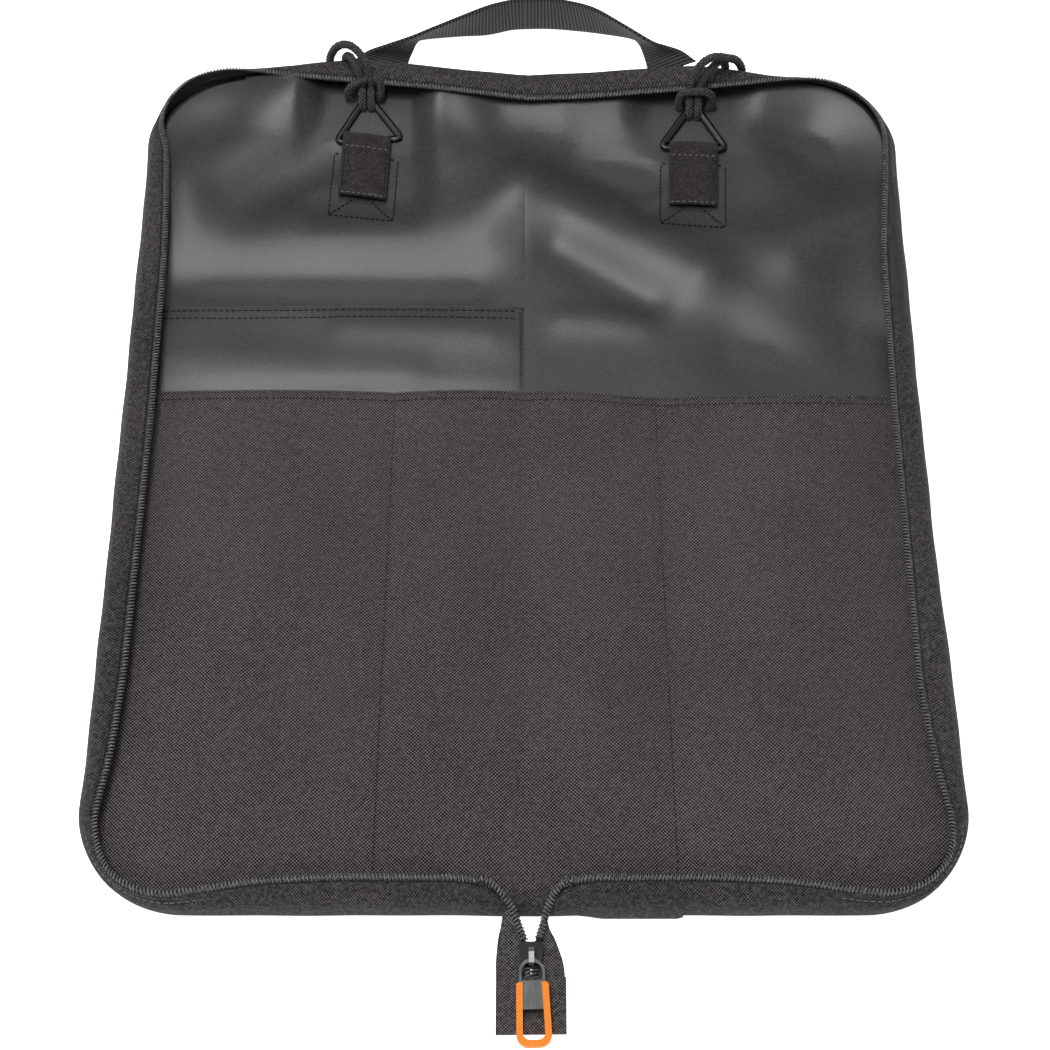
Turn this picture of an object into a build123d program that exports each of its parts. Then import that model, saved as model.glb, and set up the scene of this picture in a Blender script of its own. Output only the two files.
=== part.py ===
from build123d import *
import os
from math import atan2, radians, sin, tan

# Drum stick bag, lying open like a book on its back: X across both halves, Y along the spine
# towards the carry handle, Z up.  The origin is the centre of the spine's underside.
# Every length is in millimetres.

# ---- driving dimensions -------------------------------------------------------------------------
BAG_WIDTH = 400.0
BAG_LENGTH = 470.0
CORNER_RADIUS = 48.0
SPINE_WIDTH = 43.0
HINGE_GAP = 0.3

SHELL_THICK = 0.8
FOAM_TOP = 3.0
LINING_THICK = 0.5
LINING_TOP = 4.0
LAYER_GAP = 0.1
SEAM_INSET = 1.6

GUSSET_TOP = 18.9
GUSSET_THICK = 1.2
TAPE_THICK = 0.8
COIL_WIDTH = 3.4
COIL_THICK = 2.4

RIM_INSET_SIDE = 14.0
RIM_INSET_BOTTOM = 12.0
RIM_INSET_TOP = 2.2
RIM_RADIUS_BOTTOM = 36.0
RIM_RADIUS_TOP = 40.0

CLOTH_THICK = 0.8
POCKET_TOP_Z = 24.2
POCKET_OUTER_X = 184.0
POCKET_INNER_X = 23.0
POCKET_SEAM_X = 65.0
POCKET_MOUTH_Y = {"left": 35.0, "right": 33.0}
POCKET_FLOOR_Y = -216.0
DOCUMENT_MOUTH_Y = 87.0
DOCUMENT_TOP_Z = 9.2
DOCUMENT_THICK = 0.6
POCKET_CORNER_RADIUS = 33.0

TAB_WIDTH = 25.0
TAB_THICK = 1.1
TAB_START_Y = 158.5
TAB_FLAT_END_Y = 186.5
RING_AXIS_Y = 196.5
RING_WIRE = 3.0
RING_CLEARANCE = 0.3
RING_HALF_WIDTH = 15.25
RING_BASE_RADIUS = 2.4
RING_APEX_RADIUS = 4.5
RING_HEIGHT = 27.5
RING_TILT = 7.0
TAB_X = {"left": -84.5, "right": 90.0}
TAB_SHIFT = {"left": 0.0, "right": -5.4}
PATCH_WIDTH = 34.0
PATCH_Y = (145.0, 191.0)

HANDLE_HEIGHT = 25.0
HANDLE_THICK = 2.0

TAIL_X = 2.8
TAIL_TAPE_Z = 1.2
TAIL_TAPE_THICK = 0.6
TAIL_GAP = 2.2
TAIL_START_Y = -236.0
TAIL_END_Y = -288.6
END_TAB_Y = (-289.5, -264.5)
END_TAB_WIDTH = 30.4
END_TAB_CLOTH = 0.7
CHAIN_WIDTH = 6.8
SLIDER_FRONT_Y = -249.0
SLIDER_BACK_Y = -260.0
SLIDER_WIDTH = 11.0

CORD_DIAMETER = 4.0
SIDES = {"left": -1, "right": 1}

HINGE_X = SPINE_WIDTH / 2
HALF_WIDTH = BAG_WIDTH / 2
HALF_LENGTH = BAG_LENGTH / 2
TAPE_TOP = GUSSET_TOP + LAYER_GAP + TAPE_THICK
TAB_BASE_Z = LINING_TOP + LAYER_GAP
TAB_BORE = RING_WIRE / 2 + RING_CLEARANCE
RING_AXIS_Z = TAB_BASE_Z + TAB_THICK + TAB_BORE

# Each hanging loop leaves its hitch, arches over the rim, turns on the floor behind the gusset
# and comes back.
LEFT_LOOP = [
    (-82.6, 225.5, 15.7),
    (-82.8, 226.6, 21.4),
    (-84.8, 230.6, 28.6),
    (-89.0, 235.6, 33.4),
    (-94.8, 239.2, 35.2),
    (-100.8, 241.4, 30.8),
    (-104.8, 243.8, 21.8),
    (-106.4, 245.8, 12.4),
    (-106.2, 246.8, 4.8),
    (-101.8, 247.2, 1.7),
    (-97.4, 246.6, 5.2),
    (-97.2, 245.0, 13.6),
    (-96.8, 241.6, 22.6),
    (-93.8, 236.6, 28.2),
    (-90.4, 230.6, 27.2),
    (-88.0, 226.8, 21.8),
    (-87.4, 225.5, 15.7),
]
RIGHT_LOOP = [
    (88.0, 220.1, 15.7),
    (88.2, 221.0, 21.2),
    (90.4, 224.2, 28.8),
    (95.0, 228.0, 34.0),
    (101.6, 230.4, 35.4),
    (108.4, 231.6, 32.2),
    (113.2, 235.8, 26.6),
    (117.2, 239.8, 16.6),
    (118.6, 240.4, 8.0),
    (117.0, 241.0, 2.4),
    (111.8, 241.0, 2.2),
    (109.0, 240.2, 8.0),
    (108.6, 239.8, 16.8),
    (106.2, 236.2, 26.0),
    (102.2, 231.0, 28.6),
    (97.2, 226.0, 26.8),
    (93.4, 221.6, 21.4),
    (92.6, 220.1, 15.7),
]

os.makedirs("parts", exist_ok=True)


# ---- helpers ------------------------------------------------------------------------------------
def save(name, solid):
    solid.label = name
    export_step(solid, f"parts/{name}.step")


def slab(region, z_low, z_high):
    return extrude(Pos(0, 0, z_low) * region, z_high - z_low, dir=(0, 0, 1))


def block(x_span, y_span, z_span):
    size = [high - low for low, high in (x_span, y_span, z_span)]
    centre = [(high + low) / 2 for low, high in (x_span, y_span, z_span)]
    return Pos(*centre) * Box(*size)


def across(side, near, far):
    """The span in X from near to far, counted outwards from the spine's centre line."""
    return sorted((SIDES[side] * near, SIDES[side] * far))


def rounded_half(side, near, far, low, high, low_radius, high_radius):
    """One half's outline, from near to far outwards and low to high along Y, its outer corners round."""
    sign = SIDES[side]
    x_low, x_high = across(side, near, far)
    region = Pos((x_low + x_high) / 2, (low + high) / 2) * Rectangle(x_high - x_low, high - low)
    outer = [v for v in region.vertices() if sign * v.X > (near + far) / 2]
    lower = [v for v in outer if v.Y < (low + high) / 2]
    region = fillet(lower, low_radius)
    if not high_radius:
        return region
    upper = [v for v in region.vertices() if sign * v.X > far - 1 and v.Y > high - 1]
    return fillet(upper, high_radius)


def panel_outline(side, inset=0.0, near=HINGE_X + HINGE_GAP):
    radius = CORNER_RADIUS - inset
    edge = HALF_LENGTH - inset
    return rounded_half(side, near, HALF_WIDTH - inset, -edge, edge, radius, radius)


def rim_outline(side, extra, near):
    """The line that the zip runs along, moved inwards by extra."""
    return rounded_half(
        side,
        near,
        HALF_WIDTH - RIM_INSET_SIDE - extra,
        -HALF_LENGTH + RIM_INSET_BOTTOM + extra,
        HALF_LENGTH - RIM_INSET_TOP - extra,
        RIM_RADIUS_BOTTOM - extra,
        RIM_RADIUS_TOP - extra,
    )


def past_hinge():
    """A distance from the centre line that is past the hinge, so that a cut leaves a half open there."""
    return HINGE_X - 5


def route_path(points):
    """Straight runs joined by tangent arcs as large as the runs allow, and the arcs' radii."""
    runs = [Vector(*b) - Vector(*a) for a, b in zip(points, points[1:])]
    radii = []
    for before, after in zip(runs, runs[1:]):
        half_turn = radians(before.get_angle(after)) / 2
        radii.append(0.45 * min(before.length, after.length) / tan(half_turn))
    return FilletPolyline(*points, radius=radii), radii


def tube(points, diameter, name):
    path, radii = route_path(points)
    section = Plane(origin=path @ 0, z_dir=path % 0) * Circle(diameter / 2)
    solid = sweep(section, path=path)
    ideal = section.area * path.length
    print(name, "length", round(path.length, 1), "volume/ideal", round(solid.volume / ideal, 4))
    print("  radii", [round(r, 1) for r in radii])
    return solid


# ---- the two halves -----------------------------------------------------------------------------
def back_panel(side):
    return slab(panel_outline(side), 0, SHELL_THICK)


def foam_pad(side):
    return slab(panel_outline(side, SEAM_INSET), SHELL_THICK + LAYER_GAP, FOAM_TOP)


def lining(side):
    return slab(panel_outline(side, SEAM_INSET), LINING_TOP - LINING_THICK, LINING_TOP)


def gusset(side):
    wall = panel_outline(side) - panel_outline(side, GUSSET_THICK, past_hinge())
    return slab(wall, SHELL_THICK + LAYER_GAP, GUSSET_TOP)


def zip_tape(side):
    band = panel_outline(side) - rim_outline(side, 0, past_hinge())
    return slab(band, TAPE_TOP - TAPE_THICK, TAPE_TOP)


def zip_coil(side):
    near = HINGE_X + HINGE_GAP
    band = rim_outline(side, -COIL_WIDTH / 2, near) - rim_outline(side, COIL_WIDTH / 2, past_hinge())
    return slab(band, TAPE_TOP + LAYER_GAP, TAPE_TOP + LAYER_GAP + COIL_THICK)


def pocket_outline(side, mouth, inset=0.0):
    """A pocket's plan, its outer lower corner round like the bag's."""
    return rounded_half(
        side,
        POCKET_INNER_X + inset,
        POCKET_OUTER_X - inset,
        POCKET_FLOOR_Y + inset,
        mouth,
        POCKET_CORNER_RADIUS - inset,
        None,
    )


def stick_pocket(side):
    """A cloth panel standing off the layer under it, with two channels open towards the handle."""
    base = DOCUMENT_TOP_Z + LAYER_GAP if side == "left" else LINING_TOP + LAYER_GAP
    mouth = POCKET_MOUTH_Y[side]
    body = slab(pocket_outline(side, mouth), base, POCKET_TOP_Z)
    body -= slab(pocket_outline(side, mouth + 1, CLOTH_THICK), base - 1, POCKET_TOP_Z - CLOTH_THICK)
    seam = block(
        across(side, POCKET_SEAM_X - CLOTH_THICK / 2, POCKET_SEAM_X + CLOTH_THICK / 2),
        (POCKET_FLOOR_Y, mouth),
        (base, POCKET_TOP_Z),
    )
    return body + seam


def document_pocket():
    base = LINING_TOP + LAYER_GAP
    body = slab(pocket_outline("left", DOCUMENT_MOUTH_Y), base, DOCUMENT_TOP_Z)
    hollow = pocket_outline("left", DOCUMENT_MOUTH_Y + 1, CLOTH_THICK)
    return body - slab(hollow, base - 1, DOCUMENT_TOP_Z - DOCUMENT_THICK)


def tab(side):
    """Webbing folded round the ring's bar, its two layers lying on the lining, as one profile."""
    outer = TAB_BORE + TAB_THICK
    top = TAB_BASE_Z + 2 * TAB_THICK
    with BuildSketch(Plane.YZ) as profile:
        with Locations((RING_AXIS_Y, RING_AXIS_Z)):
            Circle(outer)
        with BuildLine():
            Polyline(
                (TAB_START_Y, TAB_BASE_Z),
                (RING_AXIS_Y, TAB_BASE_Z),
                (RING_AXIS_Y, RING_AXIS_Z + outer),
                (RING_AXIS_Y - 1.0, RING_AXIS_Z + outer - 0.1),
                (TAB_FLAT_END_Y, top),
                (TAB_START_Y, top),
                close=True,
            )
        make_face()
        with Locations((RING_AXIS_Y, RING_AXIS_Z)):
            Circle(TAB_BORE, mode=Mode.SUBTRACT)
    solid = extrude(profile.sketch, TAB_WIDTH / 2, both=True)
    return Pos(TAB_X[side], TAB_SHIFT[side], 0) * solid


def tab_patch(side):
    x = TAB_X[side]
    span = (x - PATCH_WIDTH / 2, x + PATCH_WIDTH / 2)
    ends = (PATCH_Y[0], PATCH_Y[1] + TAB_SHIFT[side])
    return block(span, ends, (FOAM_TOP + 0.05, LINING_TOP - LINING_THICK - 0.05))


def triangle_ring(side):
    """Round wire bent to a triangle, its long bar in the tab's fold and its apex outwards."""
    base_angle = atan2(RING_HEIGHT, RING_HALF_WIDTH)
    foot = RING_HALF_WIDTH + RING_BASE_RADIUS * (1 / tan(base_angle / 2) - 1)
    half_apex = radians(90) - base_angle
    tip = RING_HEIGHT + RING_APEX_RADIUS * (1 / sin(half_apex) - 1)
    outline = Polygon((-foot, 0), (foot, 0), (0, tip), align=None)
    base = [v for v in outline.vertices() if v.Y < 1]
    outline = fillet(base, RING_BASE_RADIUS)
    apex = [v for v in outline.vertices() if v.Y > RING_HEIGHT - 1]
    outline = fillet(apex, RING_APEX_RADIUS)
    path = outline.face().outer_wire()
    section = Plane(origin=path @ 0, z_dir=path % 0) * Circle(RING_WIRE / 2)
    ring = sweep(section, path=path, transition=Transition.RIGHT)
    return Pos(TAB_X[side], RING_AXIS_Y + TAB_SHIFT[side], RING_AXIS_Z) * Rot(RING_TILT, 0, 0) * ring


def cord_hitch(side):
    """The loop's knot round the ring's apex, with a flat top that both strands leave."""
    centre_y = RING_AXIS_Y + 27.0
    knot = block((-8.5, 8.5), (centre_y - 7.5, centre_y + 7.0), (5.6, 15.2))
    knot = fillet(knot.edges().filter_by(Axis.Z), 4.0)
    return Pos(TAB_X[side], TAB_SHIFT[side], 0) * knot


for side in SIDES:
    save(f"{side}_back_panel", back_panel(side))
    save(f"{side}_foam_pad", foam_pad(side))
    save(f"{side}_lining", lining(side))
    save(f"{side}_gusset", gusset(side))
    save(f"{side}_zip_tape", zip_tape(side))
    save(f"{side}_zip_coil", zip_coil(side))
    save(f"{side}_stick_pocket", stick_pocket(side))
    save(f"{side}_tab", tab(side))
    save(f"{side}_tab_patch", tab_patch(side))
    save(f"{side}_triangle_ring", triangle_ring(side))
    save(f"{side}_cord_hitch", cord_hitch(side))
save("left_document_pocket", document_pocket())
save("left_loop_cord", tube(LEFT_LOOP, CORD_DIAMETER, "left_loop_cord"))
save("right_loop_cord", tube(RIGHT_LOOP, CORD_DIAMETER, "right_loop_cord"))


# ---- the spine, between the two folds -----------------------------------------------------------
def spine_strip(inset, z_low, z_high):
    edge = HALF_LENGTH - inset
    return block((-HINGE_X, HINGE_X), (-edge, edge), (z_low, z_high))


def spine_pocket_strip():
    """The stick pocket's cloth where it is sewn down along the centre line."""
    reach = HINGE_X - 0.5
    span_y = (POCKET_FLOOR_Y, POCKET_MOUTH_Y["right"])
    return block((-reach, reach), span_y, (LINING_TOP + LAYER_GAP, LINING_TOP + LAYER_GAP + CLOTH_THICK))


def spine_top_gusset():
    y_span = (HALF_LENGTH - GUSSET_THICK, HALF_LENGTH)
    return block((-HINGE_X, HINGE_X), y_span, (SHELL_THICK + LAYER_GAP, GUSSET_TOP))


def spine_bottom_gusset():
    """The wall at the tail, dipping where both zip leads come down over it."""
    low = SHELL_THICK + LAYER_GAP
    dip = 6.0
    with BuildSketch(Plane.XZ.offset(HALF_LENGTH - GUSSET_THICK)) as wall:
        with BuildLine():
            Polyline(
                (-HINGE_X, low),
                (HINGE_X, low),
                (HINGE_X, GUSSET_TOP),
                (TAIL_X + 10.5, dip),
                (TAIL_X - 12.0, dip),
                (-HINGE_X, GUSSET_TOP),
                close=True,
            )
        make_face()
    return extrude(wall.sketch, GUSSET_THICK)


def spine_top_zip():
    """Zip tape and coil across the spine at the handle's end, as one strip."""
    y_high = HALF_LENGTH
    y_rim = HALF_LENGTH - RIM_INSET_TOP
    tape = block((-HINGE_X, HINGE_X), (y_rim, y_high), (TAPE_TOP - TAPE_THICK, TAPE_TOP))
    coil_span = (y_rim - COIL_WIDTH / 2, y_rim + COIL_WIDTH / 2)
    coil = block((-HINGE_X, HINGE_X), coil_span, (TAPE_TOP, TAPE_TOP + LAYER_GAP + COIL_THICK))
    return tape + coil


def zip_lead(side):
    """Half of the zip, leaving the rim at the fold and coming down to the slider."""
    start_z = TAPE_TOP + LAYER_GAP + COIL_THICK / 2
    routes = {
        "left": [
            (-HINGE_X + 1.2, -223.0, start_z),
            (-15.0, -224.6, 18.6),
            (-9.4, -229.0, 14.2),
            (-5.6, -235.0, 10.4),
            (-3.2, -241.6, 6.2),
            (-0.2, -248.0, 3.4),
        ],
        "right": [
            (HINGE_X - 1.2, -223.0, start_z),
            (17.0, -224.6, 18.6),
            (12.8, -229.0, 14.2),
            (9.6, -235.0, 10.4),
            (7.8, -241.6, 6.2),
            (5.6, -248.0, 3.4),
        ],
    }
    return tube(routes[side], 3.0, f"{side}_zip_lead")


def carry_handle():
    """Webbing standing on edge, out from the top seam and back in a shallow arch."""
    points = [
        (-80.0, 235.6),
        (-76.0, 248.0),
        (-60.0, 262.0),
        (-32.0, 272.5),
        (0.0, 279.0),
        (32.0, 272.5),
        (60.0, 262.0),
        (76.0, 248.0),
        (80.0, 235.6),
    ]
    path, _ = route_path([(x, y, HANDLE_HEIGHT / 2) for x, y in points])
    section = Plane(origin=path @ 0, x_dir=(0, 0, 1), z_dir=path % 0)
    return sweep(section * Rectangle(HANDLE_HEIGHT, HANDLE_THICK), path=path)


def tail_tape(side):
    """Half of the zip's tape beyond the bag, widening to its cut end."""
    sign = SIDES[side]
    centre = TAIL_X - 0.2
    stations = [(10.0, TAIL_START_Y), (12.6, -248.0), (14.2, -260.0), (14.2, TAIL_END_Y)]
    inner = TAIL_X + sign * TAIL_GAP / 2
    outline = [(inner, TAIL_START_Y)] + [(centre + sign * w, y) for w, y in stations]
    outline.append((inner, TAIL_END_Y))
    region = Polygon(*outline, align=None)
    return slab(region, TAIL_TAPE_Z, TAIL_TAPE_Z + TAIL_TAPE_THICK)


CHAIN_Z = TAIL_TAPE_Z + TAIL_TAPE_THICK + 0.05
CHAIN_TOP = CHAIN_Z + 2.2


def tail_chain():
    span_x = (TAIL_X - CHAIN_WIDTH / 2, TAIL_X + CHAIN_WIDTH / 2)
    return block(span_x, (TAIL_END_Y + 2.0, -252.0), (CHAIN_Z, CHAIN_TOP))


def zip_end_tab():
    """Cloth folded round the tapes' cut ends and sewn down, which also stops the slider."""
    centre = TAIL_X - 0.2
    outer_x = (centre - END_TAB_WIDTH / 2, centre + END_TAB_WIDTH / 2)
    inner_x = (outer_x[0] + END_TAB_CLOTH, outer_x[1] - END_TAB_CLOTH)
    chain_x = (TAIL_X - CHAIN_WIDTH / 2 - 0.15, TAIL_X + CHAIN_WIDTH / 2 + 0.15)
    low = TAIL_TAPE_Z - 0.1 - END_TAB_CLOTH
    inner_y = (END_TAB_Y[0] + END_TAB_CLOTH, END_TAB_Y[1] + 1)
    tape_top = TAIL_TAPE_Z + TAIL_TAPE_THICK + 0.1
    sleeve = block(outer_x, END_TAB_Y, (low, tape_top + END_TAB_CLOTH))
    hump_x = (chain_x[0] - END_TAB_CLOTH, chain_x[1] + END_TAB_CLOTH)
    sleeve += block(hump_x, END_TAB_Y, (low, CHAIN_TOP + 0.1 + END_TAB_CLOTH))
    sleeve -= block(inner_x, inner_y, (TAIL_TAPE_Z - 0.1, tape_top))
    return sleeve - block(chain_x, inner_y, (TAIL_TAPE_Z - 0.1, CHAIN_TOP + 0.1))


save("spine_shell", spine_strip(0, 0, SHELL_THICK))
save("spine_foam_pad", spine_strip(SEAM_INSET, SHELL_THICK + LAYER_GAP, FOAM_TOP))
save("spine_lining", spine_strip(SEAM_INSET, LINING_TOP - LINING_THICK, LINING_TOP))
save("spine_pocket_strip", spine_pocket_strip())
save("spine_top_gusset", spine_top_gusset())
save("spine_bottom_gusset", spine_bottom_gusset())
save("spine_top_zip", spine_top_zip())
save("carry_handle", carry_handle())
save("zip_end_tab", zip_end_tab())
save("zip_tail_chain", tail_chain())
for side in SIDES:
    save(f"{side}_zip_lead", zip_lead(side))
    save(f"{side}_tail_tape", tail_tape(side))


# ---- slider and puller --------------------------------------------------------------------------
SLIDER_LOW = 0.2
SLIDER_PLATE = 0.85
SLIDER_TOP = CHAIN_TOP + 0.3 + SLIDER_PLATE
BAIL_WIDTH = 2.4
PULL_AXIS_Y = -258.5
PULL_AXIS_Z = 7.3
PULL_SKEW = 2.0
PLATE_THICK = 1.5
GRIP_THICK = 3.0
RING_WIDTH = 11.3
RING_TOP = 0.8
RING_FOOT = -10.4
RING_BAND = 1.1
TONGUE_END = -21.8
GRIP_START = -9.9
GRIP_END = -38.2
GRIP_BAND = 2.9
PLATE_HALF = RING_WIDTH / 2


def slider_body():
    """Two plates joined by the post that parts the two rows of teeth."""
    half = SLIDER_WIDTH / 2
    plan = Polygon(
        (-half + 1.5, SLIDER_BACK_Y),
        (half - 1.5, SLIDER_BACK_Y),
        (half - 0.6, -255.0),
        (half, SLIDER_FRONT_Y - 2.0),
        (half - 1.2, SLIDER_FRONT_Y),
        (-half + 1.2, SLIDER_FRONT_Y),
        (-half, SLIDER_FRONT_Y - 2.0),
        (-half + 0.6, -255.0),
        align=None,
    )
    plan = Pos(TAIL_X, 0) * fillet(plan.vertices(), 0.7)
    lower = slab(plan, SLIDER_LOW, SLIDER_LOW + SLIDER_PLATE)
    upper = slab(plan, SLIDER_TOP - SLIDER_PLATE, SLIDER_TOP)
    post = block(
        (TAIL_X - 0.8, TAIL_X + 0.8), (SLIDER_FRONT_Y - 2.2, SLIDER_FRONT_Y - 0.4), (0.5, SLIDER_TOP - 0.4)
    )
    return lower + upper + post


def slider_bail():
    """The bridge over the slider's upper plate that the puller hangs in."""
    front, back = -251.4, -261.0
    floor = SLIDER_TOP + 0.02
    crown = PULL_AXIS_Z + 2.6
    with BuildSketch(Plane.YZ) as profile:
        with BuildLine():
            Polyline(
                (front, floor),
                (front, floor + 0.9),
                (front - 2.6, crown - 0.3),
                (front - 3.6, crown),
                (back + 1.0, crown),
                (back + 0.3, crown - 0.7),
                (back + 0.3, PULL_AXIS_Z - 0.4),
                (back + 1.2, PULL_AXIS_Z - 0.4),
                (back + 1.2, crown - 1.1),
                (front - 3.2, crown - 1.1),
                (front - 1.6, floor + 0.9),
                (front - 3.0, floor + 0.9),
                (front - 3.0, floor),
                close=True,
            )
        make_face()
    return Pos(TAIL_X, 0, 0) * extrude(profile.sketch, BAIL_WIDTH / 2, both=True)


def place_on_pull(solid):
    """From the puller's own frame, its bar at the origin and its length towards -Y, to the slider."""
    return Pos(TAIL_X, PULL_AXIS_Y, PULL_AXIS_Z) * Rot(0, 0, PULL_SKEW) * solid


def arch(width, foot, top):
    """A tongue from foot up to top, round at its top end."""
    radius = width / 2 - 0.05
    region = Pos(0, (foot + top) / 2) * Rectangle(width, top - foot)
    return fillet([v for v in region.vertices() if v.Y > (foot + top) / 2], radius)


def puller_plate():
    """A ring for the bail, running into the flat tongue that the grip is moulded on."""
    ring = arch(RING_WIDTH, RING_FOOT, RING_TOP)
    ring -= arch(RING_WIDTH - 2 * RING_BAND, RING_FOOT + 1.4, RING_TOP - RING_BAND - 0.4)
    tongue_width = 2 * PLATE_HALF
    tongue = Pos(0, (RING_FOOT + 1.0 + TONGUE_END) / 2) * Rectangle(
        tongue_width, RING_FOOT + 1.0 - TONGUE_END
    )
    return place_on_pull(extrude(ring + tongue, PLATE_THICK / 2, both=True))


def puller_grip():
    """Rubber moulded along the tongue's sides and on beyond it, as a U round an open window."""
    outline = Polygon(
        (-7.0, GRIP_START),
        (7.0, GRIP_START),
        (7.8, GRIP_END),
        (-7.8, GRIP_END),
        align=None,
    )
    outline = fillet([v for v in outline.vertices() if v.Y < -20], 5.4)
    outline = fillet([v for v in outline.vertices() if v.Y > -20], 1.3)
    window = Polygon(
        (-7.0 + GRIP_BAND, GRIP_START + 1),
        (7.0 - GRIP_BAND, GRIP_START + 1),
        (7.8 - GRIP_BAND, GRIP_END + GRIP_BAND),
        (-7.8 + GRIP_BAND, GRIP_END + GRIP_BAND),
        align=None,
    )
    window = fillet([v for v in window.vertices() if v.Y < -20], 3.0)
    grip = extrude(outline - window, GRIP_THICK / 2, both=True)
    groove = Pos(0, (GRIP_START + 1 + TONGUE_END) / 2) * Rectangle(
        2 * PLATE_HALF + 0.04, GRIP_START + 1.04 - TONGUE_END
    )
    return place_on_pull(grip - extrude(groove, PLATE_THICK / 2 + 0.02, both=True))


save("slider_body", slider_body())
save("slider_bail", slider_bail())
save("puller_plate", puller_plate())
save("puller_grip", puller_grip())
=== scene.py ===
"""The drum stick bag, open and lying on its back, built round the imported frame.

Shapes are worked out in millimetres and turned into metres as each mesh is made.
X runs across the bag, Y along the spine towards the handle and Z up. The left half is at minus X.
"""
import math
import random

import bpy
import numpy as np
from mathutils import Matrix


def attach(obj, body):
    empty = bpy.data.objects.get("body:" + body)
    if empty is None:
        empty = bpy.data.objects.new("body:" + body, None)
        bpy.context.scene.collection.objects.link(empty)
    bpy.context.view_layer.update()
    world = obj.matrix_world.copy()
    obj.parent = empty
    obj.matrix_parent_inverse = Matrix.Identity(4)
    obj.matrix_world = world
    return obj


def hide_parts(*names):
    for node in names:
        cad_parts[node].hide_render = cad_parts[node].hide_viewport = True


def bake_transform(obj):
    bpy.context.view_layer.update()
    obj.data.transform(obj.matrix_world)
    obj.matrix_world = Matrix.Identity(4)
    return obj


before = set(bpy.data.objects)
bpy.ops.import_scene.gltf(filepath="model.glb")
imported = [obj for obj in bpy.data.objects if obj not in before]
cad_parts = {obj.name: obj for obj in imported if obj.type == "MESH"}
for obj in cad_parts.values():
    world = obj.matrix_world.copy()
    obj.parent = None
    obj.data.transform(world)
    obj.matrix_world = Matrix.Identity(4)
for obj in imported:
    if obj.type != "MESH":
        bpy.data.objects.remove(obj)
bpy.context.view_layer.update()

MM = 0.001
SIDES = {"left": -1, "right": 1}
random.seed(7)

# ---------------------------------------------------------------- driving sizes, mm
HALF_X = 200.0
HALF_Y = 235.0
CORNER = 48.0
HINGE_FAR = 32.0
LINING_Z = 5.4
FOLD_DEPTH = 1.6
POCKET_MOUTH = {"left": 35.0, "right": 32.0}
CHANNEL_SEAM = 65.0
DOCUMENT_MOUTH = 87.0
POCKET_INSET = 2.6
HEM_WIDTH = 4.2
TOOTH_PITCH = 1.7
WEAVE_PITCH = 1.0
RIB_PITCH = 1.9
GRAIN_SCALE = 620.0
UNDERLAP_SLOPE = 0.12
TAB_X = {"left": -84.5, "right": 90.0}
TAB_TURN = {"left": -2.0, "right": -2.5}
TAB_SLANT = {"left": -0.125, "right": 0.0}
TAB_SHIFT = {"left": 0.0, "right": -5.4}
RING_AXIS = (196.5, 7.0)
RING_SIZE = (17.4, 28.2, 3.4)
RING_WIRE = 1.95
RING_WIRE_FLAT = 0.74
RING_TILT = 7.0
RING_TURN = {"left": -3.5, "right": 1.5}
RING_ASIDE = {"left": 1.0, "right": 0.0}
RIM_END = 806.0
RIM_LENGTH = 828.8

# ---------------------------------------------------------------- camera
CAMERA_PLACE = (0.0, -0.5720, 0.9466)
CAMERA_TILT = 29.5
CAMERA_LENS = 76.56


def add_camera():
    data = bpy.data.cameras.new("camera")
    data.lens = CAMERA_LENS
    data.sensor_width = 36.0
    data.clip_end = 20.0
    camera = bpy.data.objects.new("camera", data)
    camera.location = CAMERA_PLACE
    camera.rotation_euler = (math.radians(CAMERA_TILT), 0, 0)
    bpy.context.collection.objects.link(camera)
    bpy.context.scene.camera = camera


add_camera()


# ---------------------------------------------------------------- mesh helpers
def new_mesh(name, points, faces, uvs=None, smooth=True):
    """A mesh object from points in mm, with uvs in metres, one per point."""
    mesh = bpy.data.meshes.new(name)
    mesh.from_pydata((np.asarray(points, float) * MM).tolist(), [], [list(f) for f in faces])
    if uvs is not None:
        layer = mesh.uv_layers.new(name="UVMap")
        corners = np.empty(len(mesh.loops), dtype=np.int64)
        mesh.loops.foreach_get("vertex_index", corners)
        layer.data.foreach_set("uv", np.asarray(uvs, float)[corners].astype(np.float32).ravel())
    mesh.polygons.foreach_set("use_smooth", [smooth] * len(mesh.polygons))
    mesh.update()
    obj = bpy.data.objects.new(name, mesh)
    bpy.context.collection.objects.link(obj)
    return obj


def grid_faces(rows, columns, flip=False):
    """Quads over a grid of points stored row by row."""
    index = np.arange(rows * columns).reshape(rows, columns)
    quads = np.stack([index[:-1, :-1], index[:-1, 1:], index[1:, 1:], index[1:, :-1]], axis=-1)
    quads = quads.reshape(-1, 4)
    return quads[:, ::-1] if flip else quads


def cloth(name, points, uvs, thickness, material, flip=False):
    """A thin cloth from a grid of points, thickened downwards from its upper face."""
    rows, columns = points.shape[:2]
    faces = grid_faces(rows, columns, flip)
    obj = new_mesh(name, points.reshape(-1, 3), faces, uvs.reshape(-1, 2))
    solid = obj.modifiers.new("thickness", "SOLIDIFY")
    solid.thickness = thickness * MM
    solid.offset = -1
    obj.data.materials.append(material)
    return obj


def smooth_step(value, low, high):
    t = np.clip((value - low) / (high - low), 0, 1)
    return t * t * (3 - 2 * t)


def unit(v):
    return v / np.maximum(np.linalg.norm(v, axis=-1, keepdims=True), 1e-9)


def run_along(path):
    """How far along a polyline each of its points lies."""
    return np.concatenate([[0], np.cumsum(np.linalg.norm(np.diff(path, axis=0), axis=1))])


def points_at(at, run, path):
    """Points at the places at along a polyline whose own points lie at run."""
    return np.stack([np.interp(at, run, path[:, i]) for i in range(3)], axis=1)


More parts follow.
